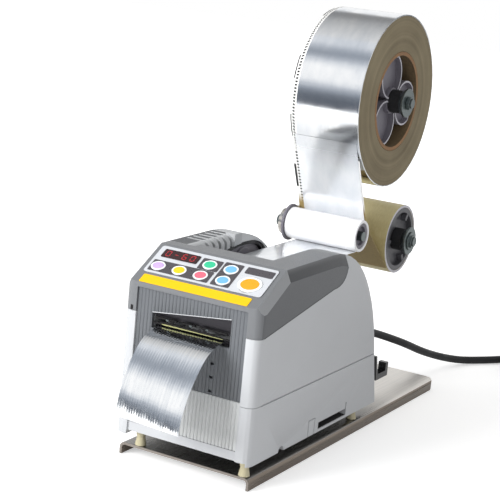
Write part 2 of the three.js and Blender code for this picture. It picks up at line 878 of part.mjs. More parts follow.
function frontFoot(aside) {
  const low = baseHeight + touchGap;
  const high = bodyFloor + lipUndercut - touchGap;
  const points = [[0, low], [footRadius, low], [footNeckRadius, (low + high) / 2], [footRadius, high], [0, high]];
  const profile = points.map(([radius, z]) => new THREE.Vector2(radius, z));
  const geometry = new THREE.LatheGeometry(profile, roundSides).rotateX(Math.PI / 2);
  return solid(geometry.translate(aside, footFrontSetback, 0));
}

function capsule(from, to, radius) {
  const angle = Math.atan2(to.y - from.y, to.x - from.x);
  const shape = new THREE.Shape();
  shape.absarc(from.x, from.y, radius, angle + Math.PI / 2, angle + Math.PI * 1.5, false);
  shape.absarc(to.x, to.y, radius, angle - Math.PI / 2, angle + Math.PI / 2, false);
  return shape;
}

const supplyPlace = new THREE.Vector2(supplyDepth, supplyRise);
const guidePlace = new THREE.Vector2(guideDepth, guideRise);
const takeupPlace = new THREE.Vector2(takeupDepth, takeupRise);

function standPlate() {
  const left = standPlateLeft;
  const right = left + standPlateThickness;
  const low = baseHeight + touchGap;
  const columnFoot = new THREE.Vector2(supplyDepth, low);
  const column = across(capsule(columnFoot, supplyPlace, standColumnWidth / 2), left, right, standRoundSteps / 2);
  const armRoot = (place) => new THREE.Vector2(supplyDepth, place.y);
  const armSteps = standRoundSteps / 2;
  const guideArm = across(capsule(armRoot(guidePlace), guidePlace, standArmRadius), left, right, armSteps);
  const takeupArm = across(capsule(armRoot(takeupPlace), takeupPlace, standArmRadius), left, right, armSteps);
  const front = supplyDepth - standFootLength / 2;
  const rear = supplyDepth + standFootLength / 2;
  const skirt = block(left, right, front, rear, low, low + standColumnWidth);
  const sole = block(left, left + standFootWidth, front, rear, low, low + standPlateThickness);
  const floorCut = block(left - cutMargin, right + cutMargin, front, rear, low - standColumnWidth, low);
  let plate = column.add(guideArm).add(takeupArm).subtract(floorCut).add(skirt).add(sole);
  const bores = [[supplyPlace, shaftRadius], [guidePlace, guideShaftRadius], [takeupPlace, shaftRadius]];
  for (const [place, radius] of bores) {
    const bore = disc(radius + touchGap, left - cutMargin, right + cutMargin, roundSides, place.x, place.y);
    plate = plate.subtract(bore);
  }
  return plate;
}

// Reels

// A fixed shaft: a knob and a spacing collar hold it to the stand plate.
function reelShaft(place, radius, tip, collarTo, knobRadius, knobLength) {
  const plateRight = standPlateLeft + standPlateThickness + touchGap;
  const plateLeft = standPlateLeft - touchGap;
  const collarRadius = radius + collarStep;
  const collar = collarTo - touchGap;
  return turned([
    [0, plateLeft - knobLength], [knobRadius, plateLeft - knobLength], [knobRadius, plateLeft],
    [radius, plateLeft], [radius, plateRight], [collarRadius, plateRight], [collarRadius, collar],
    [radius, collar], [radius, tip], [0, tip],
  ], roundSides, place.x, place.y);
}

// One cup of the core holder: a round lobe trimmed to the core's bore.
function hubLobe(angle, inset, from, to) {
  const reach = coreInner - seatGap - inset;
  const radius = hubLobeRadius - inset;
  const centre = coreInner - seatGap + hubLobeFlat - hubLobeRadius;
  const y = supplyDepth + Math.cos(angle) * centre;
  const z = supplyRise + Math.sin(angle) * centre;
  return disc(radius, from, to, hubSides, y, z).intersect(disc(reach, from, to, hubSides, supplyDepth, supplyRise));
}

// The core holder: three cups with raised edges about a boss.
function lobedHub() {
  const near = supplyNear - hubInset;
  const far = near - hubDeep;
  const head = near + hubRimProud;
  const bossHead = near + hubBossProud;
  const bore = disc(shaftRadius + bearingGap, far - cutMargin, head, roundSides, supplyDepth, supplyRise);
  const boss = disc(hubBossRadius, far, bossHead, roundSides, supplyDepth, supplyRise);
  const room = disc(hubBossRadius, near, head + cutMargin, roundSides, supplyDepth, supplyRise);
  let hub = boss;
  for (let i = 0; i < hubLobeCount; i += 1) {
    const angle = hubLobeTurn + (i * Math.PI * 2) / hubLobeCount;
    const within = hubLobe(angle, hubRimWidth, near - cutMargin, head + cutMargin);
    const edge = hubLobe(angle, 0, near, head).subtract(within);
    hub = hub.add(hubLobe(angle, 0, far, near)).add(edge.subtract(room));
  }
  return hub.subtract(bore);
}

function nut(place, from, radius, length, boreRadius) {
  const body = disc(radius, from, from + length, nutSides, place.x, place.y);
  return body.subtract(disc(boreRadius, from - cutMargin, from + length + cutMargin, roundSides, place.x, place.y));
}

function coneFlange(place, from, radius, neck, length) {
  const bore = shaftRadius + touchGap;
  const rim = length / 3;
  return turned([
    [bore, from], [neck, from], [radius, from + length - rim], [radius, from + length], [bore, from + length],
    [bore, from],
  ], roundSides, place.x, place.y);
}

function supplyReel() {
  const near = supplyNear - hubInset;
  const frictionFrom = near + hubBossProud + touchGap;
  const frictionTo = frictionFrom + frictionLength;
  const flangeFrom = frictionTo + touchGap;
  const nutFrom = flangeFrom + flangeLength + touchGap;
  const tip = nutFrom + nutLength + shaftTip;
  const bore = shaftRadius + touchGap;
  const { x, y } = supplyPlace;
  const foilFrom = supplyRadius - supplyFoilLayer;
  const woundOuter = foilFrom - touchGap;
  const woundFoil = tube(supplyRadius, foilFrom, supplyFoilFar, supplyNear - touchGap, reelSides, x, y);
  const wound = tube(woundOuter, coreOuter + touchGap, supplyFar, supplyNear, reelSides, x, y);
  const core = tube(coreOuter, coreInner, supplyFar, supplyNear, hubSides, x, y);
  const friction = tube(frictionRadius, bore, frictionFrom, frictionTo, roundSides, x, y);
  return {
    fixed: [
      piece("supply_shaft", reelShaft(supplyPlace, shaftRadius, tip, near - hubDeep, nutRadius, nutLength),
        0xb4b8b8, 0.3, 1),
      piece("supply_friction_ring", friction, 0x101010, 0.7),
      piece("supply_flange", coneFlange(supplyPlace, flangeFrom, flangeRadius, frictionRadius, flangeLength),
        0x8d9494, 0.35, 1),
      piece("supply_nut", nut(supplyPlace, nutFrom, nutRadius, nutLength, bore), 0x9aa0a0, 0.35, 1),
    ],
    turning: [
      piece("supply_hub", lobedHub(), 0x646269, 0.5),
      piece("supply_core", core, 0x8c6f45, 0.85),
      piece("supply_roll", wound, 0x8a7b5a, 0.8),
      piece("supply_foil", woundFoil, 0xc8ccd2, 0.18, 1),
    ],
  };
}

function guideRoller() {
  const { x, y } = guidePlace;
  const bearing = guideShaftRadius + bearingGap;
  const capFrom = guideNear - guideCapInset - guideCapDeep;
  const flangeTo = guideFar - touchGap;
  const capProfile = [
    [bearing, capFrom], [guideBore - touchGap, capFrom], [guideBore - touchGap, guideNear - guideCapInset],
    [guideShaftRadius * 2, guideNear - guideCapInset], [guideShaftRadius * 2, capFrom + guideCapDeep / 2],
    [bearing, capFrom + guideCapDeep / 2], [bearing, capFrom],
  ];
  const flangeFrom = flangeTo - guideFlangeThickness;
  const guideTip = guideNear + guideShaftTip;
  const shaft = reelShaft(guidePlace, guideShaftRadius, guideTip, flangeFrom, guideKnobRadius, guideKnobLength);
  return {
    fixed: [piece("guide_shaft", shaft, 0xb4b8b8, 0.3, 1)],
    turning: [
      piece("guide_roller", tube(guideRadius, guideBore, guideFar, guideNear, hubSides, x, y), 0xf2f2f4, 0.45),
      piece("guide_flange", tube(guideFlangeRadius, bearing, flangeFrom, flangeTo, hubSides, x, y), 0x4a453e, 0.5),
      piece("guide_endcap", turned(capProfile, hubSides, x, y), 0x5a5a62, 0.5),
    ],
  };
}

function takeupHub() {
  const { x, y } = takeupPlace;
  const bore = shaftRadius + bearingGap;
  const near = takeupHalfWidth - touchGap;
  const dish = near - takeupDish;
  const rim = takeupHubRadius - takeupWeb;
  let hub = turned([
    [bore, -near], [takeupHubRadius, -near], [takeupHubRadius, near], [rim, near], [rim, dish],
    [bore, dish], [bore, -near],
  ], hubSides, x, y);
  for (let i = 0; i < takeupPinCount; i += 1) {
    const angle = ((i + 0.5) / takeupPinCount) * Math.PI * 2;
    const py = x + Math.cos(angle) * takeupPinCircle;
    const pz = y + Math.sin(angle) * takeupPinCircle;
    const spoke = new THREE.Vector2(x + Math.cos(angle) * rim, y + Math.sin(angle) * rim);
    const rib = capsule(new THREE.Vector2(py, pz), spoke, takeupPinRadius);
    hub = hub.add(across(rib, dish - touchGap, near - touchGap));
  }
  return hub;
}

function takeupReel() {
  const { x, y } = takeupPlace;
  const near = takeupHalfWidth - takeupDish;
  const frictionFrom = near + touchGap;
  const frictionTo = frictionFrom + frictionLength;
  const flangeFrom = frictionTo + touchGap;
  const nutFrom = flangeFrom + flangeLength + touchGap;
  const washerTo = nutFrom + nutLength / 3;
  const tip = nutFrom + nutLength + shaftTip;
  const bore = shaftRadius + touchGap;
  const wound = tube(takeupRadius, takeupHubRadius + touchGap, -takeupHalfWidth, takeupHalfWidth, hubSides, x, y);
  const washer = tube(takeupWasherRadius, bore, nutFrom, washerTo, roundSides, x, y);
  const cap = washer.add(nut(takeupPlace, nutFrom, nutRadius, nutLength, bore));
  return {
    fixed: [
      piece("takeup_shaft", reelShaft(takeupPlace, shaftRadius, tip, touchGap - takeupHalfWidth, nutRadius, nutLength),
        0xb4b8b8, 0.3, 1),
      piece("takeup_friction_ring", tube(frictionRadius, bore, frictionFrom, frictionTo, roundSides, x, y),
        0x101010, 0.7),
      piece("takeup_flange", coneFlange(takeupPlace, flangeFrom, flangeRadius, frictionRadius, flangeLength),
        0x8d9494, 0.35, 1),
      piece("takeup_nut", cap, 0x9aa0a0, 0.35, 1),
    ],
    turning: [
      piece("takeup_hub", takeupHub(), 0x56555c, 0.5),
      piece("takeup_roll", wound, 0xa5965f, 0.8),
    ],
  };
}

// Tape and liner routes

// The straight run that leaves the supply reel's front and reaches the guide
// roller's rear: the crossing tangent of two circles.
function strandEnds() {
  const gap = seatGap + tapeThickness / 2;
  const supply = supplyRadius + gap;
  const guide = guideRadius + gap;
  const between = new THREE.Vector2().subVectors(guidePlace, supplyPlace);
  const opening = Math.acos((supply + guide) / between.length());
  const angle = between.angle() - opening;
  const normal = new THREE.Vector2(Math.cos(angle), Math.sin(angle));
  return {
    normal,
    top: supplyPlace.clone().addScaledVector(normal, supply),
    bottom: guidePlace.clone().addScaledVector(normal, -guide),
    wrap: guide,
  };
}

function foilRoute() {
  const { top, bottom, wrap } = strandEnds();
  const route = [top];
  const start = new THREE.Vector2().subVectors(bottom, guidePlace).angle();
  const end = -Math.PI / 2;
  for (let i = 0; i <= wrapSteps; i += 1) {
    const angle = start + ((end - start) * i) / wrapSteps;
    route.push(new THREE.Vector2(guideDepth + Math.cos(angle) * wrap, guideRise + Math.sin(angle) * wrap));
  }
  const level = guideRise - wrap;
  const cutLine = bladeFront + bladeThickness + seatGap;
  const dip = dipDepthShares.map((share, i) => {
    const run = share > 0 ? tapeLevelDepth - nipPlace.x : nipPlace.x - cutLine;
    const rise = dipRiseShares[i] > 0 ? level - nipPlace.y : nipPlace.y - tapeLevel;
    return new THREE.Vector2(nipPlace.x + share * run, nipPlace.y + dipRiseShares[i] * rise);
  });
  const levelEnd = new THREE.Vector2(tapeLevelDepth, level);
  const curve = new THREE.SplineCurve([levelEnd, ...dip, new THREE.Vector2(cutLine, tapeLevel)]);
  return [...route, ...curve.getPoints(webSteps)];
}

function linerRoute() {
  const { normal, top, bottom } = strandEnds();
  const layer = -(tapeThickness + seatGap);
  const along = new THREE.Vector2().subVectors(bottom, top).normalize();
  const start = top.clone().addScaledVector(along, linerStartRun).addScaledVector(normal, layer);
  const peel = bottom.clone().addScaledVector(normal, layer);
  const radius = takeupRadius + seatGap + tapeThickness / 2;
  const toReel = new THREE.Vector2().subVectors(takeupPlace, peel);
  const angle = toReel.angle() - Math.asin(radius / toReel.length());
  const run = Math.sqrt(toReel.lengthSq() - radius * radius);
  const land = new THREE.Vector2(peel.x + Math.cos(angle) * run, peel.y + Math.sin(angle) * run);
  return [start, peel, land];
}

function tongueLine() {
  const points = tongueReachShares.map((share, i) => new THREE.Vector2(
    tongueRootDepth - share * tongueReach,
    tapeLevel - tongueDropShares[i] * tongueDrop,
  ));
  return new THREE.SplineCurve(points).getPoints(webSteps);
}

// Feed mechanism

function feedRoller(place, radius) {
  const seat = outletHalfWidth + rollerShaftSeat;
  const profile = [[0, -seat], [rollerShaftRadius, -seat], [rollerShaftRadius, -rollerHalfLength]];
  profile.push([radius, -rollerHalfLength]);
  const pitch = (rollerHalfLength * 2) / (rollerGrooveCount + 1);
  for (let i = 1; i <= rollerGrooveCount; i += 1) {
    const middle = -rollerHalfLength + i * pitch;
    const half = rollerGrooveWidth / 2;
    profile.push([radius, middle - half], [radius - rollerGrooveDepth, middle - half]);
    profile.push([radius - rollerGrooveDepth, middle + half], [radius, middle + half]);
  }
  profile.push([radius, rollerHalfLength], [rollerShaftRadius, rollerHalfLength]);
  profile.push([rollerShaftRadius, seat], [0, seat]);
  return turned(profile, roundSides, place.x, place.y);
}

function cutterBlade() {
  const low = bodyFloor + bladeFootRise;
  const bladeHalfWidth = outletHalfWidth - seatGap;
  const shape = outline([
    [-bladeHalfWidth, low], [0, low + bladeVee], [bladeHalfWidth, low], [bladeHalfWidth, bodyFloor + bladeHeadRise],
    [-bladeHalfWidth, bodyFloor + bladeHeadRise],
  ]);
  return backward(shape, bladeFront, bladeFront + bladeThickness);
}

function cutterBed() {
  const head = tapeLevel - tapeThickness / 2 - seatGap;
  const front = bladeFront + bladeThickness + seatGap;
  const half = outletHalfWidth - seatGap;
  return block(-half, half, front, front + bedThickness, head - bedHeight, head);
}

function outletBar() {
  const low = tapeLevel + tapeThickness + seatGap;
  const rear = outletBarFront + outletBarThickness;
  const half = outletHalfWidth - seatGap;
  let bar = block(-half, half, outletBarFront, rear, low, low + outletBarEndHeight);
  bar = bar.add(block(outletBarLeft, outletBarRight, outletBarFront, rear, low, low + outletBarHeight));
  for (const share of clipPlaceShares) {
    const place = share * outletHalfWidth;
    const head = low + outletBarHeight + clipHeight;
    bar = bar.add(block(place, place + clipWidth, rear - outletBarThickness / 2, rear, low, head));
  }
  return bar;
}

// Control panel

function controlPanel() {
  const panel = panelFrame();
  const plate = roundedRectangle(-overlayHalfWidth, overlayHalfWidth, 0, overlayLength, overlayCornerRadius);
  const overlayHead = touchGap + overlayThickness;
  const bores = keyBores(0, cutMargin);
  panel.add(piece("control_overlay", upward(plate, touchGap, overlayHead).subtract(bores), 0xb9bec3, 0.4));
  const fieldFoot = overlayHead + touchGap / 3;
  for (const [name, shares] of Object.entries(fieldShares)) {
    const field = upward(overlayRectangle(shares), fieldFoot, fieldFoot + fieldThickness);
    panel.add(piece(name, field.subtract(bores), 0x4b484b, 0.5));
  }
  const window = upward(overlayRectangle(windowShares), fieldFoot, fieldFoot + windowThickness);
  panel.add(piece("display_window", window, 0x2a1214, 0.15));
  const stripLeft = stripLeftMargin - halfWidth;
  const stripRight = halfWidth - stripRightMargin;
  const strip = roundedRectangle(stripLeft, stripRight, -stripGap - stripLength, -stripGap, fieldCornerRadius);
  const stripFoot = touchGap / 3;
  panel.add(piece("yellow_strip", upward(strip, stripFoot, stripFoot + stripThickness), 0xfae100, 0.5));
  const ringLevel = fieldFoot + fieldThickness + buttonRingProud;
  for (const key of keys) {
    const { rim, cap } = keySize(key);
    const crown = ringLevel + buttonCapProud;
    const profile = [[0, -buttonStem], [rim, -buttonStem], [rim, ringLevel], [cap, ringLevel]];
    profile.push([cap, crown - buttonCapProud / 3], [cap - buttonCapProud / 3, crown], [0, crown]);
    const points = profile.map(([radius, z]) => new THREE.Vector2(radius, z));
    const geometry = new THREE.LatheGeometry(points, keySides).rotateX(Math.PI / 2);
    panel.add(piece(key.name, solid(geometry.translate(key.across, key.along, 0)), key.tint, 0.45));
  }
  return panel;
}

// Left cover inlays

function archSeal() {
  const right = -wellHalfWidth - sealProud;
  const band = across(archShape(touchGap), right - sealDepth, right, profileCurveSteps);
  const hole = across(archShape(sealBand), right - sealDepth - cutMargin, right + cutMargin, profileCurveSteps);
  const footLevel = bodyFloor + archFootRise + sealBand * 3;
  const wide = halfWidth + cutMargin;
  const floor = block(-wide, wide, 0, bodyDepth, 0, footLevel);
  return band.subtract(hole).subtract(floor);
}

function sidePlate() {
  const right = -wellHalfWidth - sidePlateDepth;
  const face = across(archShape(sealBand + touchGap), right - sidePlateThickness, right, profileCurveSteps);
  const boss = disc(sideBossRadius, right - sidePlateThickness, right + sideBossHeight, roundSides,
    archFront + sideBossFromFront, bodyFloor + sideBossRise);
  return face.add(boss);
}

// Rear pieces and the cord

function rearWallDepth(z) {
  return bodyDepth - (rearLean * (z - bodyFloor)) / rearShoulderRise;
}

function cableHook() {
  const low = bodyFloor + hookFootRise;
  const high = low + hookHeight;
  const arm = low + hookArm;
  const tip = rearWallDepth(low) + hookReach;
  const shape = outline([
    [rearWallDepth(low) + seatGap, low], [tip, low], [tip, low + hookTipHeight], [tip - hookArm, low + hookTipHeight],
    [tip - hookArm, arm], [rearWallDepth(arm) + hookPlate, arm], [rearWallDepth(high) + hookPlate, high],
    [rearWallDepth(high) + seatGap, high],
  ]);
  const right = halfWidth - hookInset;
  return across(shape, right - hookWidth, right);
}

const reliefLevel = bodyFloor + reliefRise;
const reliefRear = rearWallDepth(reliefLevel) + reliefLength;

function turnedBack(profile, sides) {
  const points = profile.map(([radius, y]) => new THREE.Vector2(radius, y));
  return solid(new THREE.LatheGeometry(points, sides).translate(0, 0, reliefLevel));
}

function reliefSocket() {
  const radius = reliefRadius + touchGap;
  const front = rearWallDepth(reliefLevel) - reliefSeat - touchGap;
  const rear = bodyDepth + cutMargin;
  return turnedBack([[0, front], [radius, front], [radius, rear], [0, rear]], roundSides);
}

function strainRelief() {
  const wall = rearWallDepth(reliefLevel);
  return turnedBack([
    [0, wall - reliefSeat], [reliefRadius, wall - reliefSeat], [reliefRadius, wall + reliefSeat],
    [reliefTipRadius, reliefRear], [0, reliefRear],
  ], roundSides);
}

// The first point sits just off the relief's end, and the next keeps it square.
function cordCurve() {
  const start = new THREE.Vector3(0, reliefRear + seatGap, reliefLevel);
  const lead = new THREE.Vector3(0, reliefRear + cordRadius * 2, reliefLevel);
  const points = cordRoute.map(([x, y, z]) => new THREE.Vector3(x, y, z));
  return new THREE.CatmullRomCurve3([start, lead, ...points], false, "centripetal");
}

// A neat two-layer coil: inward on the floor, up, and outward on top.
function coilPoints(entry, heading) {
  const lowLevel = cordRadius + cordFloorLift;
  const highLevel = lowLevel + coilPitch;
  const side = new THREE.Vector2(heading.y, -heading.x);
  const centre = entry.clone().addScaledVector(heading, cordRadius * 2).addScaledVector(side, coilOuterRadius);
  const startAngle = Math.atan2(-side.y, -side.x);
  const half = coilLayerTurns + coilRampTurns / 2;
  const steps = Math.round(half * 2 * coilTurnSteps);
  const points = [new THREE.Vector3(entry.x, entry.y, lowLevel)];
  for (let i = 0; i <= steps; i += 1) {
    const turns = (i / steps) * half * 2;
    const inward = Math.min(turns, half * 2 - turns, coilLayerTurns);
    const climb = THREE.MathUtils.smoothstep(turns, coilLayerTurns, coilLayerTurns + coilRampTurns);
    const radius = coilOuterRadius - inward * coilPitch;
    const angle = startAngle - turns * Math.PI * 2;
    const level = lowLevel + (highLevel - lowLevel) * climb;
    points.push(new THREE.Vector3(centre.x + Math.cos(angle) * radius, centre.y + Math.sin(angle) * radius, level));
  }
  const end = points[points.length - 1];
  const endAngle = startAngle - half * 2 * Math.PI * 2;
  const leave = new THREE.Vector3(Math.sin(endAngle), -Math.cos(endAngle), 0);
  points.push(end.clone().addScaledVector(leave, coilTailLength));
  return { points, leave };
}

function leastGap(points, radius) {
  const skip = coilTurnSteps / 2;
  let least = Infinity;
  for (let i = 0; i < points.length; i += 1) {
    for (let j = i + skip; j < points.length; j += 1) {
      least = Math.min(least, points[i].distanceTo(points[j]));
    }
  }
  return least - radius * 2;
}

function powerPlug(place, heading) {
  const half = plugWidth / 2;
  const height = place.z;
  const body = roundedRectangle(-half, half, -height, height, plugCornerRadius);
  const start = plugNeckLength + seatGap;
  const grip = solid(extruded(body, plugLength).translate(0, 0, start));
  const neckLength = plugNeckLength + cordRadius;
  const neck = new THREE.CylinderGeometry(reliefRadius, reliefTipRadius, neckLength, roundSides / 2);
  const neckMiddle = seatGap + (plugNeckLength + cordRadius) / 2;
  let plug = grip.add(solid(neck.rotateX(Math.PI / 2).translate(0, 0, neckMiddle)));
  for (const side of [-1, 1]) {
    const middle = (side * plugPinSpacing) / 2;
    const left = middle - plugPinThickness / 2;
    const right = middle + plugPinThickness / 2;
    const blade = roundedRectangle(left, right, -plugPinWidth / 2, plugPinWidth / 2, plugPinThickness / 4);
    const tip = start + plugLength - cordRadius;
    plug = plug.add(solid(extruded(blade, plugPinLength + cordRadius, 2).translate(0, 0, tip)));
  }
  const sideways = new THREE.Vector3(-heading.y, heading.x, 0);
  const basis = new THREE.Matrix4().makeBasis(sideways, new THREE.Vector3(0, 0, 1), heading);
  return solid(geometryOf(plug).applyMatrix4(basis).translate(place.x, place.y, place.z));
}

function cordPieces() {
  const curve = cordCurve();
  const free = cordAlong(curve, cordRadius, cordSides, cordSteps);
  const end = curve.getPoint(1);
  const before = curve.getPoint(1 - 1 / cordSteps);
  const heading = new THREE.Vector2(end.x - before.x, end.y - before.y).normalize();
  const entry = new THREE.Vector2(end.x, end.y).addScaledVector(heading, seatGap);
  const { points, leave } = coilPoints(entry, heading);
  const coilCurve = new THREE.CatmullRomCurve3(points, false, "centripetal");
  const coil = cordAlong(coilCurve, cordRadius, coilSides, points.length - 1);
  const length = curve.getLength() + coilCurve.getLength() + reliefLength + plugLength;
  console.log(`cord length ${length.toFixed(0)} mm, coil gap ${leastGap(points, cordRadius).toFixed(2)} mm`);
  return [
    piece("strain_relief", strainRelief(), 0x19191b, 0.6),
    piece("power_cord", free, 0x19191b, 0.55),
    piece("cord_coil", coil, 0x19191b, 0.55),
    piece("power_plug", powerPlug(points[points.length - 1], leave), 0x19191b, 0.5),
  ];
}

// The whole part

const rig = new THREE.Group();
rig.name = "tape_dispenser";
const form = bodyForm();

const base = new THREE.Group();
base.name = "base_group";
base.add(piece("base_plate", basePlate(), 0xccc9c4, 0.3, 1));
base.add(piece("foot_front_left", frontFoot(footLeft), 0xd9cf96, 0.6));
base.add(piece("foot_front_right", frontFoot(footRight), 0xd9cf96, 0.6));
base.add(piece("foot_rear_left", foot(footLeft, footRearSetback), 0xd9cf96, 0.6));
base.add(piece("foot_rear_right", foot(footRight, footRearSetback), 0xd9cf96, 0.6));
base.add(piece("stand_plate", standPlate(), 0xb8b8b8, 0.3, 1));
rig.add(base);

const housing = new THREE.Group();
housing.name = "housing_group";
housing.add(piece("lower_case", lowerCase(form), 0xb4b7ba, 0.55));
housing.add(piece("upper_case", upperCase(form), 0xb4b7ba, 0.55));
housing.add(piece("hood", hoodBody(form), 0x76797c, 0.5));
housing.add(piece("left_side_cover", leftCover(form), 0xa9acad, 0.5));
housing.add(piece("front_panel", frontPanel(), 0x787c80, 0.5));
housing.add(piece("lower_front_panel", lowerFrontPanel(), 0xa8aaa8, 0.5));
housing.add(piece("arch_seal", archSeal(), 0x111113, 0.6));
housing.add(piece("side_plate", sidePlate(), 0x47474c, 0.6));
housing.add(piece("cable_hook", cableHook(), 0x151517, 0.5));
housing.add(controlPanel());
rig.add(housing);

const feed = new THREE.Group();
feed.name = "feed_group";
feed.add(piece("feed_roller", feedRoller(feedPlace, feedRadius), 0x2b2b2d, 0.8));
feed.add(piece("pressure_roller", feedRoller(pressurePlace, pressureRadius), 0x3a3a3c, 0.8));
feed.add(piece("cutter_blade", cutterBlade(), 0x8f9498, 0.3, 1));
feed.add(piece("cutter_bed", cutterBed(), 0x6f7478, 0.35, 1));
feed.add(piece("outlet_bar", outletBar(), 0x8c8f5a, 0.35, 1));
rig.add(feed);

const reels = new THREE.Group();
reels.name = "reel_group";
for (const reel of [supplyReel(), guideRoller(), takeupReel()]) {
  reels.add(...reel.fixed, ...reel.turning);
}
rig.add(reels);

const tape = new THREE.Group();
tape.name = "tape_group";
const foil = ribbon(foilRoute(), -foilHalfWidth, foilHalfWidth, tapeThickness);
tape.add(piece("foil_web", foil, 0xd5d8dc, 0.15, 1));
const tongue = ribbon(tongueLine(), -foilHalfWidth, foilHalfWidth, tapeThickness, tongueTwist);
tape.add(piece("tape_tongue", tongue, 0xd5d8dc, 0.2, 1));
tape.add(piece("liner_web", ribbon(linerRoute(), linerLeft, linerRight, tapeThickness), 0xa5965f, 0.8));
rig.add(tape);

// Centre the standing part, without its cord, over the origin.
const extent = new THREE.Box3().setFromObject(rig);
const middleDepth = (extent.min.y + extent.max.y) / 2;
rig.add(...cordPieces());
rig.position.y = -middleDepth;
for (const [label, place] of Object.entries({ feedPlace, pressurePlace, supplyPlace, guidePlace, takeupPlace })) {
  console.log(`${label} y ${(place.x - middleDepth).toFixed(3)} z ${place.y.toFixed(3)}`);
}
console.log(`shift ${middleDepth.toFixed(3)} blade travel room ${(bodyFloor + bladeFootRise - tapeLevel).toFixed(2)}`);
console.log(`x ${extent.min.x.toFixed(2)} to ${extent.max.x.toFixed(2)}`);

export default rig;
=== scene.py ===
import json
import math

import bmesh
import bpy
from mathutils import Matrix, Vector


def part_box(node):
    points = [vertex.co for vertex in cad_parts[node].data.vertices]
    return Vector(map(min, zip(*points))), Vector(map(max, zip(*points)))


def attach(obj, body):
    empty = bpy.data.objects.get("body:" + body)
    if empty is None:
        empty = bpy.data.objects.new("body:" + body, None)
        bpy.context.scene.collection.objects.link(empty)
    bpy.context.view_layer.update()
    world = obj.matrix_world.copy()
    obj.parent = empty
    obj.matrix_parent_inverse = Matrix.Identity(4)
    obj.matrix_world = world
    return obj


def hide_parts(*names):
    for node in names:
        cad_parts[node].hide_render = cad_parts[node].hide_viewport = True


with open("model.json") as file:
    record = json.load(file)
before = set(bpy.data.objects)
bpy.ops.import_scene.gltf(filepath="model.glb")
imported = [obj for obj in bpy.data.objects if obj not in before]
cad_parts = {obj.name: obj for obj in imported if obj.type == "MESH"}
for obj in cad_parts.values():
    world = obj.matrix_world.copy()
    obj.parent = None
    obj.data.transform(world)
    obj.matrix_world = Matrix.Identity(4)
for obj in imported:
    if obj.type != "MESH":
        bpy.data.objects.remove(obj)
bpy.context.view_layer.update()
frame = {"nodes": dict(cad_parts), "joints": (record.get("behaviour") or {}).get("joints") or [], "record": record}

MM = 0.001
NODES = frame["nodes"]
RECORD = frame["record"]
SLOTS = {entry["node"]: entry["material_slot"] for entry in RECORD["subparts"]}
BODIES = {node: body for body, nodes in RECORD["behaviour"]["bodies"].items() for node in nodes}
PLACES = {joint["name"]: Vector(joint["pos_m"]) for joint in frame["joints"]}

# The machine's front face in the frame, and the axes that wound things turn on.
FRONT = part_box("lower_case")[0].y
HALF_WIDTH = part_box("lower_case")[1].x
SUPPLY = PLACES["supply_spin"]
TAKEUP = PLACES["takeup_spin"]

# The photograph is a 3:2 picture pressed into a square; this is its camera without that squeeze.
EYE = Vector((545.6, -908.7, 409.9)) * MM + Vector((0, FRONT, 0))
AZIMUTH = math.radians(28.924)
ELEVATION = math.radians(12.578)
ROLL = math.radians(5.442)
FOCAL_PIXELS = 1526.3
PICTURE_PIXELS = 500
SENSOR_WIDTH = 36.0

# Stage
WHITE = (1, 1, 1, 1)
BLACK = (0, 0, 0, 1)
FLOOR_SIZE = 8.0
FLOOR_DROP = 0.4 * MM
FLOOR_COLOUR = (0.8, 0.8, 0.8, 1)
FLOOR_GLOW_NEAR = 0.48
FLOOR_MIRRORED = 0.28
FLOOR_GLOW_REACH = (0.3, 1.0)
WORLD_FILL = 0.5
# What bright metal sees from the front horizon up and over: degrees and strength.
SKY_TONES = (
    (0, 0.17), (3, 0.22), (10, 0.44), (17, 0.9), (22, 1.0), (38, 1.0), (45, 0.78), (51.5, 0.46),
    (58, 0.33), (66, 0.5), (73, 0.76), (82, 0.74), (92, 0.66), (104, 0.55), (118, 0.42), (131, 0.26),
    (142, 0.25), (147, 1.0),
)
# The tint of its darker tones, and where that fades out, in shares of half a turn.
SKY_SHADE = (0.8, 0.93, 1.14, 1)
SKY_NEUTRAL = (0.38, 0.47)
# The dark sheet on the floor.
CARD_SIZE = (6.0, 3.1)
CARD_PLACE = (-0.6, -2.41, 0.002)
CARD_COLOUR = (0.1075, 0.12125, 0.15, 1)
LAMPS = (
    ("key_lamp", (-0.75, -1.6, 0.8), 0.9, 40.5),
    ("side_lamp", (1.7, -0.7, 0.9), 1.0, 4.0),
    ("top_lamp", (-0.3, 0.2, 1.9), 1.3, 4.5),
)
LAMP_AIM = Vector((0, 0, 0.15))

# Materials: the middle range of a noise, scales of noise, the foil's weave, and where tones change.
NOISE_SPAN = (0.3, 0.7)
CLOUD_SCALE = 16.0
GRAIN_SCALE = 1300.0
GRAIN_DEPTH = 0.06 * MM
SHEET_SCRATCHES = (1400.0, 22.0, 260.0)
RIM_SCRATCHES = (22.0, 22.0, 900.0)
WEAVE_ACROSS = 2.2 * MM
WEAVE_ALONG = 2.4 * MM
WEB_WEAVE = 1.6 * MM
WEB_LIT_SPAN = (200 * MM, 250 * MM)
# Painted shade and reflection on the base plate: full in front of the first depth, gone behind the second.
PLATE_SHADED_TO = FRONT + 200 * MM
PLATE_BRIGHT_FROM = FRONT + 270 * MM
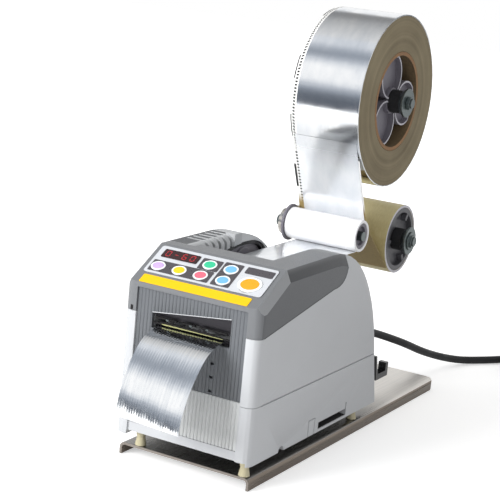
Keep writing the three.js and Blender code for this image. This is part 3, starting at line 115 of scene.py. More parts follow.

# Housing: grip grooves, hood chamfer and seams, and painted shade in a slot in the right side and a notch in the
# left post.
GROOVE_COUNT = 5
GROOVE_PITCH = 8.6 * MM
GROOVE_WIDTH = 3.4 * MM
GROOVE_FRONT = 69 * MM
GROOVE_FOOT = 140.6 * MM
GROOVE_OUTER = -HALF_WIDTH + 5 * MM
# Across this span the painted shade on the hood's chamfer deepens towards the outer edge.
CHAMFER_SPAN = (HALF_WIDTH - 6.5 * MM, HALF_WIDTH - 2 * MM)
SEAM_RADIUS = 0.32 * MM
SEAM_SUNK = 0.12 * MM
SLOT_LOW = Vector((HALF_WIDTH - 5.9 * MM, FRONT + 109.2 * MM, 21.9 * MM))
SLOT_HIGH = Vector((HALF_WIDTH - 5.2 * MM, FRONT + 156.8 * MM, 27.1 * MM))
SLOT_FLOOR = Vector((HALF_WIDTH - 0.6 * MM, SLOT_HIGH.y, SLOT_LOW.z + 0.3 * MM))
NOTCH_LOW = Vector((-HALF_WIDTH + 6.2 * MM, FRONT - 0.1 * MM, 115.3 * MM))
NOTCH_HIGH = Vector((-HALF_WIDTH + 8.3 * MM, FRONT + 0.6 * MM, 118.9 * MM))

# Tape outlet. Its head edge's painted highlight as place across and height, its lip's painted highlight as place
# across and radius, and the small parts as where they start and end across, all in millimetres.
OUTLET_EDGE_SETBACK = 1.45 * MM
OUTLET_EDGE_RADIUS = 0.32 * MM
OUTLET_HEAD = ((-33.3, 116.75), (33.3, 125.05))
LIP_LINE = ((-25, 0.3), (-22, 0.55), (-8, 0.5), (8, 0.35), (27, 0.25))
SLATS = ((-31, -13), (-9, 3), (6, 30))
SPRINGS = ((-22, -19.6), (-2, 0.4), (12, 14.4))

# Control panel: its own frame starts on the slope, above the strip.
SLOPE = math.radians(30)
SLOPE_FOOT = 137.2 * MM
STRIP_DEPTH = 11.5 * MM
PANEL_FOOT = Vector((0, FRONT + STRIP_DEPTH * math.cos(SLOPE), SLOPE_FOOT + STRIP_DEPTH * math.sin(SLOPE)))
DISPLAY_LEVEL = 1.4 * MM
DISPLAY_TEXT = "0-60"
DIGIT_HEIGHT = 5.4 * MM
DIGIT_WIDTH = 3.3 * MM
DIGIT_PITCH = 7.0 * MM
SEGMENT = 0.75 * MM
SEGMENT_PROUD = 0.06 * MM
KEY_CAP_SHARE = 0.76
KEY_WIDE = 1.16
KEY_TALL = 0.93
KEY_SIDES = 36

# Wound tape
ROLL_RADIUS = 71.8 * MM
WOUND_RADIUS = 70.85 * MM
EDGE_MARK_PITCH = 2.7 * MM
EDGE_MARK_SHARE = 0.55
EDGE_MARK_SPAN = (-29.9 * MM, -27.4 * MM)
EDGE_BLOCK_PITCH = 66 * MM
EDGE_BLOCK_SHARE = 0.3
EDGE_PALE_END = -26.2 * MM
NO_MARGIN = -1.0
LINER_BARE_LEVEL = 178 * MM
LINER_FROM = 60 * MM
WEB_NEAR = 0.8 * MM
WEB_LIFT = 0.03 * MM

# Hanging end: length along it in metres, and how far it has bent down in degrees.
TONGUE_BENDS = (
    (0, 8), (0.015, 15), (0.022, 24), (0.0275, 37), (0.033, 44), (0.043, 50.5), (0.052, 56.5),
    (0.064, 67), (0.0725, 74.5), (0.0795, 79), (0.0845, 85),
)
TONGUE_STEPS = 84
TONGUE_COLUMNS = 56
TONGUE_SHEET = 0.3 * MM
TONGUE_LEAN = 5 * MM
TONGUE_FORWARD = 3.5 * MM
TONGUE_RISE = 2 * MM
# Its waves across, deeper towards the cut end: length over a turn's radians, and depth.
TONGUE_FINE_WAVE = (1.5 * MM, 0.05 * MM)
TONGUE_WIDE_WAVE = (4.2 * MM, 0.12 * MM)

# Cord: the route, in machine millimetres, and the coil's sizes repeat the part's own.
CORD_DIAMETER = 7 * MM
CORD_SIDES = 14
CORD_LEAD = 7 * MM
CORD_ROUTE = (
    (2, 248, 66.4), (11, 300, 51.5), (22, 340, 37), (29.5, 380, 21), (37, 416, 9.5), (46, 438, 4.6),
    (60, 457, 3.65), (74, 476, 3.65), (85, 495, 3.65),
)
CORD_STEPS = 44
SEAT_GAP = 0.3 * MM
COIL_RADIUS = 48 * MM
COIL_PITCH = 7.8 * MM
COIL_LAYER_TURNS = 3.12
COIL_TURN_STEPS = 24
COIL_RAMP_TURNS = 0.2
COIL_TAIL = 38 * MM
COIL_LOW = 3.65 * MM
PLUG_BODY_END = 48 * MM
TIE_WIDTH = 7 * MM
TIE_THICKNESS = 0.12 * MM
TIE_TURNS = 0.5
RELIEF_RINGS = 6
RELIEF_BARE = 0.42
RELIEF_TIP = CORD_DIAMETER * 0.64
RELIEF_GROOVE = 0.5 * MM

# Meshes: how near two points are one, and how flat, in degrees, two faces are one.
WELD = 2e-6
FLAT_ANGLE = 0.6


def srgb(red, green, blue):
    """A linear colour from the 0 to 255 values that a picture shows."""
    values = []
    for value in (red, green, blue):
        share = value / 255
        values.append(share / 12.92 if share <= 0.04045 else ((share + 0.055) / 1.055) ** 2.4)
    return (*values, 1.0)


# Camera, floor and lamps


def make_camera():
    data = bpy.data.cameras.new("camera")
    data.sensor_width = SENSOR_WIDTH
    data.lens = FOCAL_PIXELS / PICTURE_PIXELS * SENSOR_WIDTH
    data.clip_start = 0.05
    data.clip_end = 20
    camera = bpy.data.objects.new("camera", data)
    bpy.context.scene.collection.objects.link(camera)
    back = Vector((
        math.sin(AZIMUTH) * math.cos(ELEVATION),
        -math.cos(AZIMUTH) * math.cos(ELEVATION),
        math.sin(ELEVATION),
    ))
    right = Vector((math.cos(AZIMUTH), math.sin(AZIMUTH), 0))
    up = back.cross(right)
    turned_right = right * math.cos(ROLL) + up * math.sin(ROLL)
    turned_up = up * math.cos(ROLL) - right * math.sin(ROLL)
    basis = Matrix((turned_right, turned_up, back)).transposed().to_4x4()
    camera.matrix_world = Matrix.Translation(EYE) @ basis
    bpy.context.scene.camera = camera


class Tree:
    """Short calls for nodes."""

    def __init__(self, tree):
        self.nodes = tree.nodes
        self.links = tree.links

    def feed(self, socket, value):
        """Links another node's output, or sets a plain value."""
        if isinstance(value, bpy.types.NodeSocket):
            self.links.new(value, socket)
        else:
            socket.default_value = value

    def add(self, kind, settings=None, **inputs):
        node = self.nodes.new(f"ShaderNode{kind}")
        for name, value in (settings or {}).items():
            setattr(node, name, value)
        for name, value in inputs.items():
            self.feed(node.inputs[name.replace("_", " ")], value)
        return node

    def math(self, operation, first, second=0.0):
        node = self.add("Math", {"operation": operation})
        self.feed(node.inputs[0], first)
        self.feed(node.inputs[1], second)
        return node.outputs[0]

    def times(self, first, second):
        return self.math("MULTIPLY", first, second)

    def plus(self, first, second):
        return self.math("ADD", first, second)

    def minus(self, first, second):
        return self.math("SUBTRACT", first, second)

    def span(self, value, low, high, to_low=0.0, to_high=1.0, smooth=False):
        """Maps low..high to to_low..to_high, held at both ends."""
        kind = {"interpolation_type": "SMOOTHSTEP" if smooth else "LINEAR"}
        limits = {"From Min": low, "From Max": high, "To Min": to_low, "To Max": to_high}
        return self.add("MapRange", kind, Value=value, **limits).outputs["Result"]

    def blend(self, factor, first, second):
        return self.add("Mix", {"data_type": "RGBA"}, Factor=factor, A=first, B=second).outputs["Result"]

    def noise(self, vector, scale, detail=2.0, roughness=0.5):
        """Noise at one scale, or drawn out by a scale for each axis."""
        if isinstance(scale, tuple):
            vector = self.add("Mapping", {}, Vector=vector, Scale=scale).outputs["Vector"]
            scale = 1.0
        node = self.add("TexNoise", {}, Vector=vector, Scale=scale, Detail=detail, Roughness=roughness)
        return node.outputs["Fac"]

    def ramp(self, value, stops):
        """A grey ramp through pairs of share and tone."""
        node = self.add("ValToRGB", {}, Fac=value)
        elements = node.color_ramp.elements
        for index, (share, tone) in enumerate(stops):
            element = elements[index] if index < 2 else elements.new(share)
            element.position = share
            element.color = (tone, tone, tone, 1)
        return node.outputs["Color"]

    def rays(self, *kinds):
        """1 for any of the named kinds of ray, else 0."""
        paths = self.add("LightPath").outputs
        total = paths[f"Is {kinds[0]} Ray"]
        for kind in kinds[1:]:
            total = self.math("MAXIMUM", total, paths[f"Is {kind} Ray"])
        return total


def make_world():
    """White to the camera; a banded studio in bright metal; an even light elsewhere."""
    world = bpy.data.worlds.new("studio")
    bpy.context.scene.world = world
    world.use_nodes = True
    tree = Tree(world.node_tree)
    aim = tree.add("TexCoord").outputs["Generated"]
    parts = tree.add("SeparateXYZ", {}, Vector=aim).outputs
    turn = tree.math("ARCTAN2", parts["Z"], tree.times(parts["Y"], -1.0))
    share = tree.math("DIVIDE", turn, math.pi)
    ramp = tree.ramp(share, [(angle / 180, tone) for angle, tone in SKY_TONES])
    seen = tree.rays("Camera", "Transmission")
    glossy = tree.rays("Glossy")
    shown = tree.times(glossy, ramp)
    dull = tree.minus(1.0, glossy)
    level = tree.math("MAXIMUM", seen, tree.plus(shown, tree.times(dull, WORLD_FILL)))
    faded = tree.math("MAXIMUM", level, tree.span(share, *SKY_NEUTRAL))
    neutral = tree.math("MAXIMUM", faded, dull)
    background = tree.nodes["Background"]
    tree.feed(background.inputs["Color"], tree.blend(neutral, SKY_SHADE, WHITE))
    tree.feed(background.inputs["Strength"], level)


def make_floor():
    """A white floor that keeps the object's shadow near it."""
    bpy.ops.mesh.primitive_plane_add(size=FLOOR_SIZE, location=(0, 0, -FLOOR_DROP))
    floor = bpy.context.object
    floor.name = "floor"
    shade = Shade("floor_white", 0.9)
    shade.plain(Base_Color=FLOOR_COLOUR, Specular_IOR_Level=0.1, Emission_Color=WHITE)
    reach = shade.add("VectorMath", {"operation": "LENGTH"}, Vector=shade.place).outputs["Value"]
    glow = shade.span(reach, *FLOOR_GLOW_REACH, FLOOR_GLOW_NEAR, 1.0, smooth=True)
    mirrored = shade.times(shade.rays("Glossy"), FLOOR_MIRRORED)
    seen = shade.math("MAXIMUM", shade.rays("Camera", "Transmission"), mirrored)
    shade.feed(shade.shader.inputs["Emission Strength"], shade.times(glow, seen))
    floor.data.materials.append(shade.material)


def make_card():
    """A dark sheet on the floor in front of the machine, seen only in bright metal."""
    bpy.ops.mesh.primitive_plane_add(size=1, location=CARD_PLACE)
    card = bpy.context.object
    card.name = "dark_card"
    card.scale = (*CARD_SIZE, 1)
    shade = Shade("card_dark")
    shade.plain(Base_Color=BLACK, Specular_IOR_Level=0, Emission_Color=CARD_COLOUR, Emission_Strength=1.0)
    card.data.materials.append(shade.material)
    card.visible_camera = False
    card.visible_diffuse = False
    card.visible_shadow = False
    card.visible_transmission = False


def make_lamps():
    for name, place, size, power in LAMPS:
        data = bpy.data.lights.new(name, "AREA")
        data.size = size
        data.energy = power
        lamp = bpy.data.objects.new(name, data)
        lamp.location = place
        lamp.visible_glossy = False
        lamp.rotation_mode = "QUATERNION"
        lamp.rotation_quaternion = (LAMP_AIM - Vector(place)).to_track_quat("-Z", "Y")
        bpy.context.scene.collection.objects.link(lamp)


# Materials


class Shade(Tree):
    """A material in the making: the principled shader and object coordinates."""

    def __init__(self, name, roughness=0.5, metallic=0.0, coat=0.0):
        self.material = bpy.data.materials.new(name)
        self.material.use_nodes = True
        super().__init__(self.material.node_tree)
        self.shader = self.nodes["Principled BSDF"]
        self.plain(Metallic=metallic, Roughness=roughness, Coat_Weight=coat, Coat_Roughness=0.1)
        self.place = self.add("TexCoord").outputs["Object"]
        self.x, self.y, self.z = self.add("SeparateXYZ", {}, Vector=self.place).outputs

    def plain(self, **values):
        """Values that are the same all over, on the shader's own sockets."""
        for name, value in values.items():
            self.shader.inputs[name.replace("_", " ")].default_value = value

    def colour(self, value):
        self.feed(self.shader.inputs["Base Color"], value)

    def roughness(self, value):
        self.feed(self.shader.inputs["Roughness"], value)

    def gloss(self, noise, low, high):
        """Roughness from low to high over a noise's middle range."""
        self.roughness(self.span(noise, *NOISE_SPAN, low, high))

    def darker(self, colour, factor):
        return self.blend(1 - factor, colour, BLACK)

    def waves(self, value, pitch):
        return self.math("SINE", self.times(value, 2 * math.pi / pitch))

    def bumps(self, *layers):
        """Each layer is a height from 0 to 1, its depth in metres and its strength."""
        normal = None
        for height, depth, strength in layers:
            node = self.add("Bump", {}, Height=height, Distance=depth, Strength=strength)
            if normal:
                self.feed(node.inputs["Normal"], normal)
            normal = node.outputs["Normal"]
        self.feed(self.shader.inputs["Normal"], normal)

    def around(self, axis):
        """Distance from an axis along X, and the angle about it."""
        across = self.minus(self.y, axis.y)
        rise = self.minus(self.z, axis.z)
        square = self.plus(self.math("POWER", across, 2.0), self.math("POWER", rise, 2.0))
        return self.math("SQRT", square), self.math("ARCTAN2", rise, across)


def tinted(colour, factor):
    """A picture's colour, from 0 to 255, as a linear one that is darker or lighter."""
    return tuple(min(value * factor, 1) for value in srgb(*colour)[:3]) + (1,)


def grained(name, colour, look, tones, clouds, grain, bump, swing, metallic=0.0):
    """Clouds of tone over a fine grain; look is roughness, coat and whether gloss follows the clouds."""
    roughness, coat, cloudy = look
    shade = Shade(name, roughness, metallic, coat)
    cloud = shade.noise(shade.place, *clouds)
    fine = shade.noise(shade.place, *grain)
    shade.colour(shade.blend(cloud, tinted(colour, tones[0]), tinted(colour, tones[1])))
    shade.gloss(cloud if cloudy else fine, roughness - swing[0], roughness + swing[1])
    shade.bumps((fine, *bump))
    return shade.material


def moulded(name, colour, roughness=0.48, spread=0.04, coat=0.0):
    """Moulded plastic: faint clouds of tone and a fine spark-eroded grain."""
    return grained(name, colour, (roughness, coat, False), (1 - spread, 1 + spread),
                   (CLOUD_SCALE, 3.0), (GRAIN_SCALE, 2.0), (GRAIN_DEPTH, 0.35), (0.07, 0.07))


def film(name, colour, roughness=0.3, coat=0.35):
    """Printed plastic film: an even colour with a soft lacquered skin."""
    return grained(name, colour, (roughness, coat, False), (0.98, 1.02),
                   (60.0, 2.0), (700.0, 3.0), (0.02 * MM, 0.3), (0.05, 0.08))


def rubber(name, colour, roughness=0.6, spread=0.18):
    """Soft black rubber or cable sheath: dull, with a faint bloom."""
    return grained(name, colour, (roughness, 0.0, True), (1 - spread, 1 + spread),
                   (90.0, 4.0), (2200.0, 2.0), (0.05 * MM, 0.4), (0.08, 0.08))


def turned(name, colour, roughness):
    """Turned and plated steel: cloudy gloss over a fine grain."""
    return grained(name, colour, (roughness, 0.0, True), (0.8, 1.12),
                   (160.0, 3.0), (1500.0, 2.0), (0.02 * MM, 0.4), (0.08, 0.1), metallic=1.0)


def hood_chamfer(name, inner, outer):
    """The hood's moulded grey with painted light and shade across its chamfer: lighter at the inner edge, darker
    towards the outer edge.
    """
    shade = Shade(name, 0.42)
    share = shade.span(shade.x, *CHAMFER_SPAN, smooth=True)
    cloud = shade.noise(shade.place, CLOUD_SCALE, 3.0)
    base = shade.blend(share, inner, outer)
    shade.colour(shade.blend(cloud, base, shade.darker(base, 0.92)))
    fine = shade.noise(shade.place, GRAIN_SCALE)
    shade.gloss(fine, 0.35, 0.49)
    shade.bumps((fine, GRAIN_DEPTH, 0.35))
    return shade.material


def brushed(name, colour, roughness, grain_scale):
    """Brushed metal: long fine scratches along one way, and cloudy gloss."""
    shade = Shade(name, roughness, metallic=1.0)
    scratches = shade.noise(shade.place, grain_scale, 3.0, 0.6)
    cloud = shade.noise(shade.place, 22.0, 3.0)
    base = shade.blend(scratches, tinted(colour, 0.9), tinted(colour, 1.06))
    shade.colour(shade.blend(shade.span(cloud, 0.35, 0.7, 0, 0.35), base, tinted(colour, 0.86)))
    shade.gloss(scratches, roughness - 0.08, roughness + 0.1)
    shade.bumps((scratches, 0.015 * MM, 0.5))
    return shade.material


def plate_steel(name, colour):
    """Brushed sheet, darker towards the front under the machine: painted shade and a painted reflection of the
    machine's dark underside.
    """
    shade = Shade(name, 0.3, metallic=1.0)
    scratches = shade.noise(shade.place, SHEET_SCRATCHES, 3.0, 0.6)
    cloud = shade.noise(shade.place, 22.0, 3.0)
    share = shade.span(shade.y, PLATE_SHADED_TO, PLATE_BRIGHT_FROM, smooth=True)
    base = shade.blend(share, tinted(colour, 0.32), tinted(colour, 1))
    shade.colour(shade.blend(shade.span(scratches, 0.35, 0.65), shade.darker(base, 0.86), base))
    gloss = shade.span(shade.plus(scratches, shade.times(cloud, 0.4)), 0.4, 0.9, 0.2, 0.36)
    shade.roughness(shade.plus(gloss, shade.times(share, 0.06)))
    shade.feed(shade.shader.inputs["Metallic"], shade.minus(1.0, shade.times(share, 0.12)))
    shade.bumps((scratches, 0.015 * MM, 0.5))
    return shade.material


def woven_foil(name):
    """Foil tape on a fine cloth: a raised grid and cloudy handling marks in its gloss and bumps, with painted
    reflection in their tone.
    """
    shade = Shade(name, 0.24, metallic=1.0)
    fall = shade.minus(shade.z, shade.times(shade.y, 0.6))
    flat = shade.add("CombineXYZ", {}, X=shade.x, Y=fall).outputs["Vector"]
    lanes = shade.noise(flat, (520.0, 14.0, 1.0))
    clouds = shade.noise(flat, (40.0, 60.0, 1.0), 4.0, 0.6)
    marks = shade.noise(flat, (420.0, 160.0, 1.0), 3.0, 0.7)
    # The tone of these clouds, lanes and marks is painted reflection; the same noises also set real gloss and
    # bumps.
    wear_and_reflection = shade.plus(shade.times(clouds, 0.5), shade.times(lanes, 0.5))
    skin = shade.blend(shade.span(wear_and_reflection, 0.4, 0.6), (0.97, 0.98, 0.99, 1), (0.84, 0.87, 0.9, 1))
    # Darker bluish marks: painted reflection.
    shade.colour(shade.blend(shade.span(marks, 0.55, 0.75, 0, 0.35), skin, (0.56, 0.61, 0.68, 1)))
    shade.roughness(shade.span(wear_and_reflection, 0.4, 0.6, 0.11, 0.2))
    lengthwise = shade.waves(shade.x, WEAVE_ACROSS)
    crosswise = shade.waves(fall, WEAVE_ALONG)
    shade.bumps((lengthwise, 0.07 * MM, 0.45), (crosswise, 0.008 * MM, 0.2),
                (clouds, 0.2 * MM, 0.3), (marks, 0.02 * MM, 0.3))
    return shade.material


def plain_foil(name, margin_to, lit_span=None):
    """The same foil laid tight: a bright skin with soft ripples, paler where it hangs free below."""
    shade = Shade(name, 0.14, metallic=1.0)
    ripples = shade.noise(shade.place, (6.0, 30.0, 30.0), 3.0)
    smears = shade.noise(shade.place, (60.0, 25.0, 25.0), 4.0, 0.6)
    skin = shade.blend(shade.span(smears, 0.35, 0.7), (0.95, 0.96, 0.97, 1), (0.78, 0.81, 0.85, 1))
    margin = shade.math("LESS_THAN", shade.x, margin_to)
    shade.colour(shade.blend(margin, skin, margin_print(shade)))
    metal = shade.minus(1.0, margin)
    if lit_span:
        metal = shade.times(metal, shade.span(shade.z, *lit_span, 0.5, 1.0, smooth=True))
    shade.feed(shade.shader.inputs["Metallic"], metal)
    shade.roughness(shade.plus(shade.span(smears, *NOISE_SPAN, 0.1, 0.2), shade.times(margin, 0.3)))
    lengthwise = shade.waves(shade.x, WEB_WEAVE)
    shade.bumps((lengthwise, 0.006 * MM, 0.12), (ripples, 1.2 * MM, 0.25), (smears, 0.4 * MM, 0.2))
    return shade.material


def margin_print(shade):
    """The liner's margin: pale, with a row of short black marks and long blocks at its edge."""
    distance, angle = shade.around(SUPPLY)
    on_roll = shade.math("LESS_THAN", distance, ROLL_RADIUS + 1 * MM)
    arc = shade.times(angle, WOUND_RADIUS)
    fall = shade.times(shade.z, shade.minus(1.0, on_roll))
    run = shade.plus(shade.plus(shade.times(arc, on_roll), fall), 1.0)
    beat = shade.math("FRACT", shade.math("DIVIDE", run, EDGE_MARK_PITCH))
    inside = shade.times(shade.math("GREATER_THAN", shade.x, EDGE_MARK_SPAN[0]),
                        shade.math("LESS_THAN", shade.x, EDGE_MARK_SPAN[1]))
    marks = shade.times(inside, shade.math("LESS_THAN", beat, EDGE_MARK_SHARE))
    long_beat = shade.math("FRACT", shade.math("DIVIDE", run, EDGE_BLOCK_PITCH))
    blocks = shade.times(shade.math("LESS_THAN", shade.x, EDGE_MARK_SPAN[0] - 1 * MM),
                        shade.math("LESS_THAN", long_beat, EDGE_BLOCK_SHARE))
    return shade.blend(shade.math("MAXIMUM", marks, blocks), srgb(232, 232, 230), srgb(34, 34, 36))


def wound_side(name, light, dark):
    """The roll's flat side: the edges of hundreds of thin layers, in uneven rings."""
    shade = Shade(name, 0.7)
    distance, _ = shade.around(SUPPLY)
    line = shade.add("CombineXYZ", {}, X=distance).outputs["Vector"]
    fine = shade.noise(line, 1700.0, 3.0, 0.7)
    coarse = shade.noise(line, 210.0, 3.0)
    cloud = shade.noise(shade.place, 26.0, 3.0)
    mixed = shade.plus(shade.times(fine, 0.4), shade.times(coarse, 0.6))
    tone = shade.span(shade.plus(mixed, shade.times(cloud, 0.4)), 0.5, 0.9)
    shade.colour(shade.blend(tone, dark, light))
    shade.gloss(fine, 0.55, 0.85)
    shade.bumps((fine, 0.25 * MM, 0.6), (coarse, 0.3 * MM, 0.3))
    return shade.material


def kraft_paper(name, light, dark):
    """Glazed kraft liner: short fibres, cloudy tone, a soft sheen."""
    shade = Shade(name, 0.45)
    fibres = shade.noise(shade.place, (900.0, 260.0, 260.0), 3.0, 0.7)
    cloud = shade.noise(shade.place, (14.0, 40.0, 40.0), 4.0)
    tone = shade.plus(shade.times(fibres, 0.35), shade.times(cloud, 0.65))
    shade.colour(shade.blend(shade.span(tone, 0.32, 0.68), dark, light))
    shade.gloss(fibres, 0.36, 0.52)
    shade.bumps((fibres, 0.05 * MM, 0.4))
    return shade.material


def edge_print(name):
    """Liner paper seen past the foil: the printed margin, and bare kraft low down."""
    shade = Shade(name, 0.5)
    fibres = shade.noise(shade.place, 500.0, 3.0)
    kraft = shade.blend(fibres, srgb(134, 112, 66), srgb(176, 156, 106))
    bare = shade.span(shade.z, LINER_BARE_LEVEL - 4 * MM, LINER_BARE_LEVEL + 4 * MM, 1.0, 0.0)
    shade.colour(shade.blend(bare, margin_print(shade), kraft))
    shade.gloss(fibres, 0.42, 0.6)
    shade.bumps((fibres, 0.04 * MM, 0.3))
    return shade.material


def core_board(name):
    """Paperboard tube: spiral plies and coarse fibres."""
    shade = Shade(name, 0.85)
    _, angle = shade.around(SUPPLY)
    spiral = shade.plus(shade.times(shade.x, 190.0), angle)
    ply = shade.math("FRACT", shade.math("DIVIDE", spiral, 2 * math.pi))
    fibres = shade.noise(shade.place, 420.0, 4.0, 0.7)
    seam = shade.span(ply, 0.0, 0.06, 0.55, 1.0)
    tone = shade.blend(fibres, srgb(88, 74, 52), srgb(132, 112, 82))
    shade.colour(shade.blend(shade.minus(1.0, seam), tone, srgb(58, 44, 32)))
    shade.gloss(fibres, 0.78, 0.92)
    shade.bumps((fibres, 0.15 * MM, 0.5), (seam, 0.2 * MM, 0.4))
    return shade.material


def glowing(name, colour):
    """Lit display segments behind a red filter."""
    shade = Shade(name, 0.3)
    dust = shade.noise(shade.place, 900.0)
    tone = shade.blend(dust, tinted(colour, 0.85), tinted(colour, 1.1))
    shade.colour(tone)
    shade.feed(shade.shader.inputs["Emission Color"], tone)
    shade.plain(Emission_Strength=0.35)
    return shade.material


# By slot: Blender numbers a name that the frame's own materials already have.
MATERIALS = {material.name.split(".")[0]: material for material in (
    moulded("body_grey", (190, 192, 195)),
    moulded("hood_grey", (114, 116, 119), 0.42),
    moulded("cover_grey", (182, 184, 186), 0.42),
    moulded("front_grey", (100, 103, 107), 0.5),
    moulded("lower_front_grey", (200, 202, 202), 0.5),
    film("panel_film", (200, 203, 208)),
    film("panel_dark", (72, 69, 74)),
    film("display_red", (44, 16, 18), 0.12),
    film("strip_yellow", (240, 190, 0), 0.6, 0.05),
    film("key_purple", (196, 168, 226)),
    film("key_yellow", (250, 198, 8)),
    film("key_pink", (240, 104, 124)),
    film("key_green", (48, 190, 142)),
    film("key_blue", (112, 178, 224)),
    film("key_orange", (255, 160, 8)),
    brushed("stainless", (214, 210, 204), 0.26, SHEET_SCRATCHES),
    turned("turned_steel", (122, 130, 130), 0.32),
    # blade_steel is a dark grey: painted shade for the blade inside the outlet.
    brushed("blade_steel", (88, 86, 90), 0.5, (18.0, 900.0, 900.0)),
    turned("brassy_bar", (70, 70, 52), 0.45),
    plain_foil("foil", EDGE_PALE_END),
    kraft_paper("kraft", srgb(226, 214, 166), srgb(192, 176, 120)),
    core_board("core_board"),
    moulded("hub_dark", (118, 115, 124), 0.4, 0.1),
    moulded("roller_white", (248, 248, 250), 0.35, 0.015),
    rubber("black_rubber", (26, 26, 28)),
    rubber("roller_rubber", (44, 44, 46), 0.7),
    moulded("foot_rubber", (186, 178, 148), 0.45, 0.12),
    moulded("black_plastic", (20, 20, 22), 0.3, 0.1, coat=0.3),
)}
TONGUE_FOIL = woven_foil("tongue_foil")
WEB_FOIL = plain_foil("web_foil", NO_MARGIN, WEB_LIT_SPAN)
HUB_DEEP = moulded("hub_deep", (86, 86, 90), 0.4, 0.12)
CORE_END = rubber("core_end", (146, 112, 80), 0.8, 0.3)
HOOD_SHADE = hood_chamfer("hood_shade", srgb(142, 144, 147), srgb(68, 70, 73))
# A darker copy of the hood's grey for its flat sides: painted shade.
HOOD_SIDE_SHADE = moulded("hood_side_shade", (95, 97, 100), 0.42)
# A lighter copy of the hood's grey for the chamfer along its front slope: painted highlight.
HOOD_HIGHLIGHT = moulded("hood_painted_highlight", (150, 152, 155), 0.42)
# A dark grey for the side cover's grip grooves: painted shade.
GROOVE_SHADE = moulded("groove_painted_shade", (84, 86, 89), 0.5)
SEAM_GREY = rubber("seam_grey", (66, 68, 70), 0.7)
# A darker copy of the plate's steel for its front rim: painted shade.
PLATE_RIM_SHADE = brushed("plate_rim_shade", (172, 164, 156), 0.3, RIM_SCRATCHES)
# A light grey for a line along the outlet's top edge: painted highlight.
OUTLET_HIGHLIGHT = moulded("outlet_edge_highlight", (196, 198, 201), 0.4)
ROLL_SIDE = wound_side("roll_side", srgb(150, 138, 110), srgb(104, 92, 68))
LINER_PRINT = edge_print("liner_print")
RIM_PALE = moulded("rim_pale", (196, 194, 202), 0.35)
KEY_RING = film("key_ring", (236, 238, 240))
DISPLAY_LIT = glowing("display_lit", (156, 34, 42))
# Near-black for the insides of the slot, the notch and the outlet: painted shade.
INSIDE_SHADE = rubber("inside_painted_shade", (30, 29, 30), 0.8)
PLATE_STEEL = plate_steel("plate_steel", (236, 232, 226))
# A still darker copy for the plate's edges: painted shade.
PLATE_EDGE_SHADE = brushed("plate_edge_shade", (128, 118, 108), 0.3, RIM_SCRATCHES)
# The outlet bar's brass colour, lightened for a line along its edge: painted highlight.
BRASS_LIP_HIGHLIGHT = moulded("brass_lip_highlight", (160, 160, 112), 0.5)


# Pieces


def link(name, mesh, material, body, *replaced, slot=None):
    """Adds a mesh to the scene as a piece that rides on a body."""
    piece = bpy.data.objects.new(name, mesh)
    bpy.context.scene.collection.objects.link(piece)
    mesh.materials.clear()
    mesh.materials.append(material)
    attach(piece, body)
    if replaced:
        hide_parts(*replaced)
    return piece


def smooth(mesh, angle):
    for face in mesh.polygons:
        face.use_smooth = True
    mesh.set_sharp_from_angle(angle=math.radians(angle))


def add_form(name, form, angle, material, body, *replaced, slot=None):
    """A form as a smoothed piece, its faces turned outward."""
    bmesh.ops.recalc_face_normals(form, faces=form.faces)
    mesh = bpy.data.meshes.new(name)
    form.to_mesh(mesh)
    form.free()
    smooth(mesh, angle)
    return link(name, mesh, material, body, *replaced, slot=slot)


def welded(mesh):
    form = bmesh.new()
    form.from_mesh(mesh)
    bmesh.ops.remove_doubles(form, verts=form.verts, dist=WELD)
    return form


def bridge(form, rings):
    """Faces all round between each ring of vertices and the next."""
    for first, second in zip(rings, rings[1:]):
        for step in range(len(first)):
            after = (step + 1) % len(first)
            form.faces.new((first[step], first[after], second[after], second[step]))


def close(form, rings):
    """A solid through rings of vertices, with a face at each end."""
    bridge(form, rings)
    form.faces.new(list(reversed(rings[0])))
    form.faces.new(rings[-1])


def dress(node, bevel=0.0, angle=32.0, material=None, segments=2):
    """A welded, smoothed copy of a CAD node, with its small edges rounded."""
    mesh = NODES[node].data.copy()
    mesh.name = f"{node}_look"
    form = welded(mesh)
    bmesh.ops.dissolve_limit(form, angle_limit=math.radians(FLAT_ANGLE), verts=form.verts, edges=form.edges)
    form.to_mesh(mesh)
    form.free()
    smooth(mesh, angle)
    piece = link(f"{node}_look", mesh, material or MATERIALS[SLOTS[node]], BODIES[node], node)
    if bevel:
        rounding = piece.modifiers.new("edge", "BEVEL")
        rounding.width = bevel
        rounding.segments = segments
        rounding.limit_method = "ANGLE"
        rounding.angle_limit = math.radians(angle)
        rounding.use_clamp_overlap = True
        rounding.harden_normals = True
    return piece


def paint(piece, material, chosen):
    """Another material for the chosen faces."""
    mesh = piece.data
    mesh.materials.append(material)
    index = len(mesh.materials) - 1
    for face in mesh.polygons:
        if chosen(face):
            face.material_index = index


def block(name, low, high, material, slot, bevel=0.2 * MM):
    """A straight bar with rounded edges."""
    form = bmesh.new()
    bmesh.ops.create_cube(form, size=1)
    middle = (low + high) / 2
    size = high - low
    for vertex in form.verts:
        vertex.co = Vector((vertex.co.x * size.x, vertex.co.y * size.y, vertex.co.z * size.z)) + middle
    bmesh.ops.bevel(form, geom=form.edges, offset=bevel, segments=2, affect="EDGES", profile=0.5)
    return add_form(name, form, 40, material, "base", slot=slot)


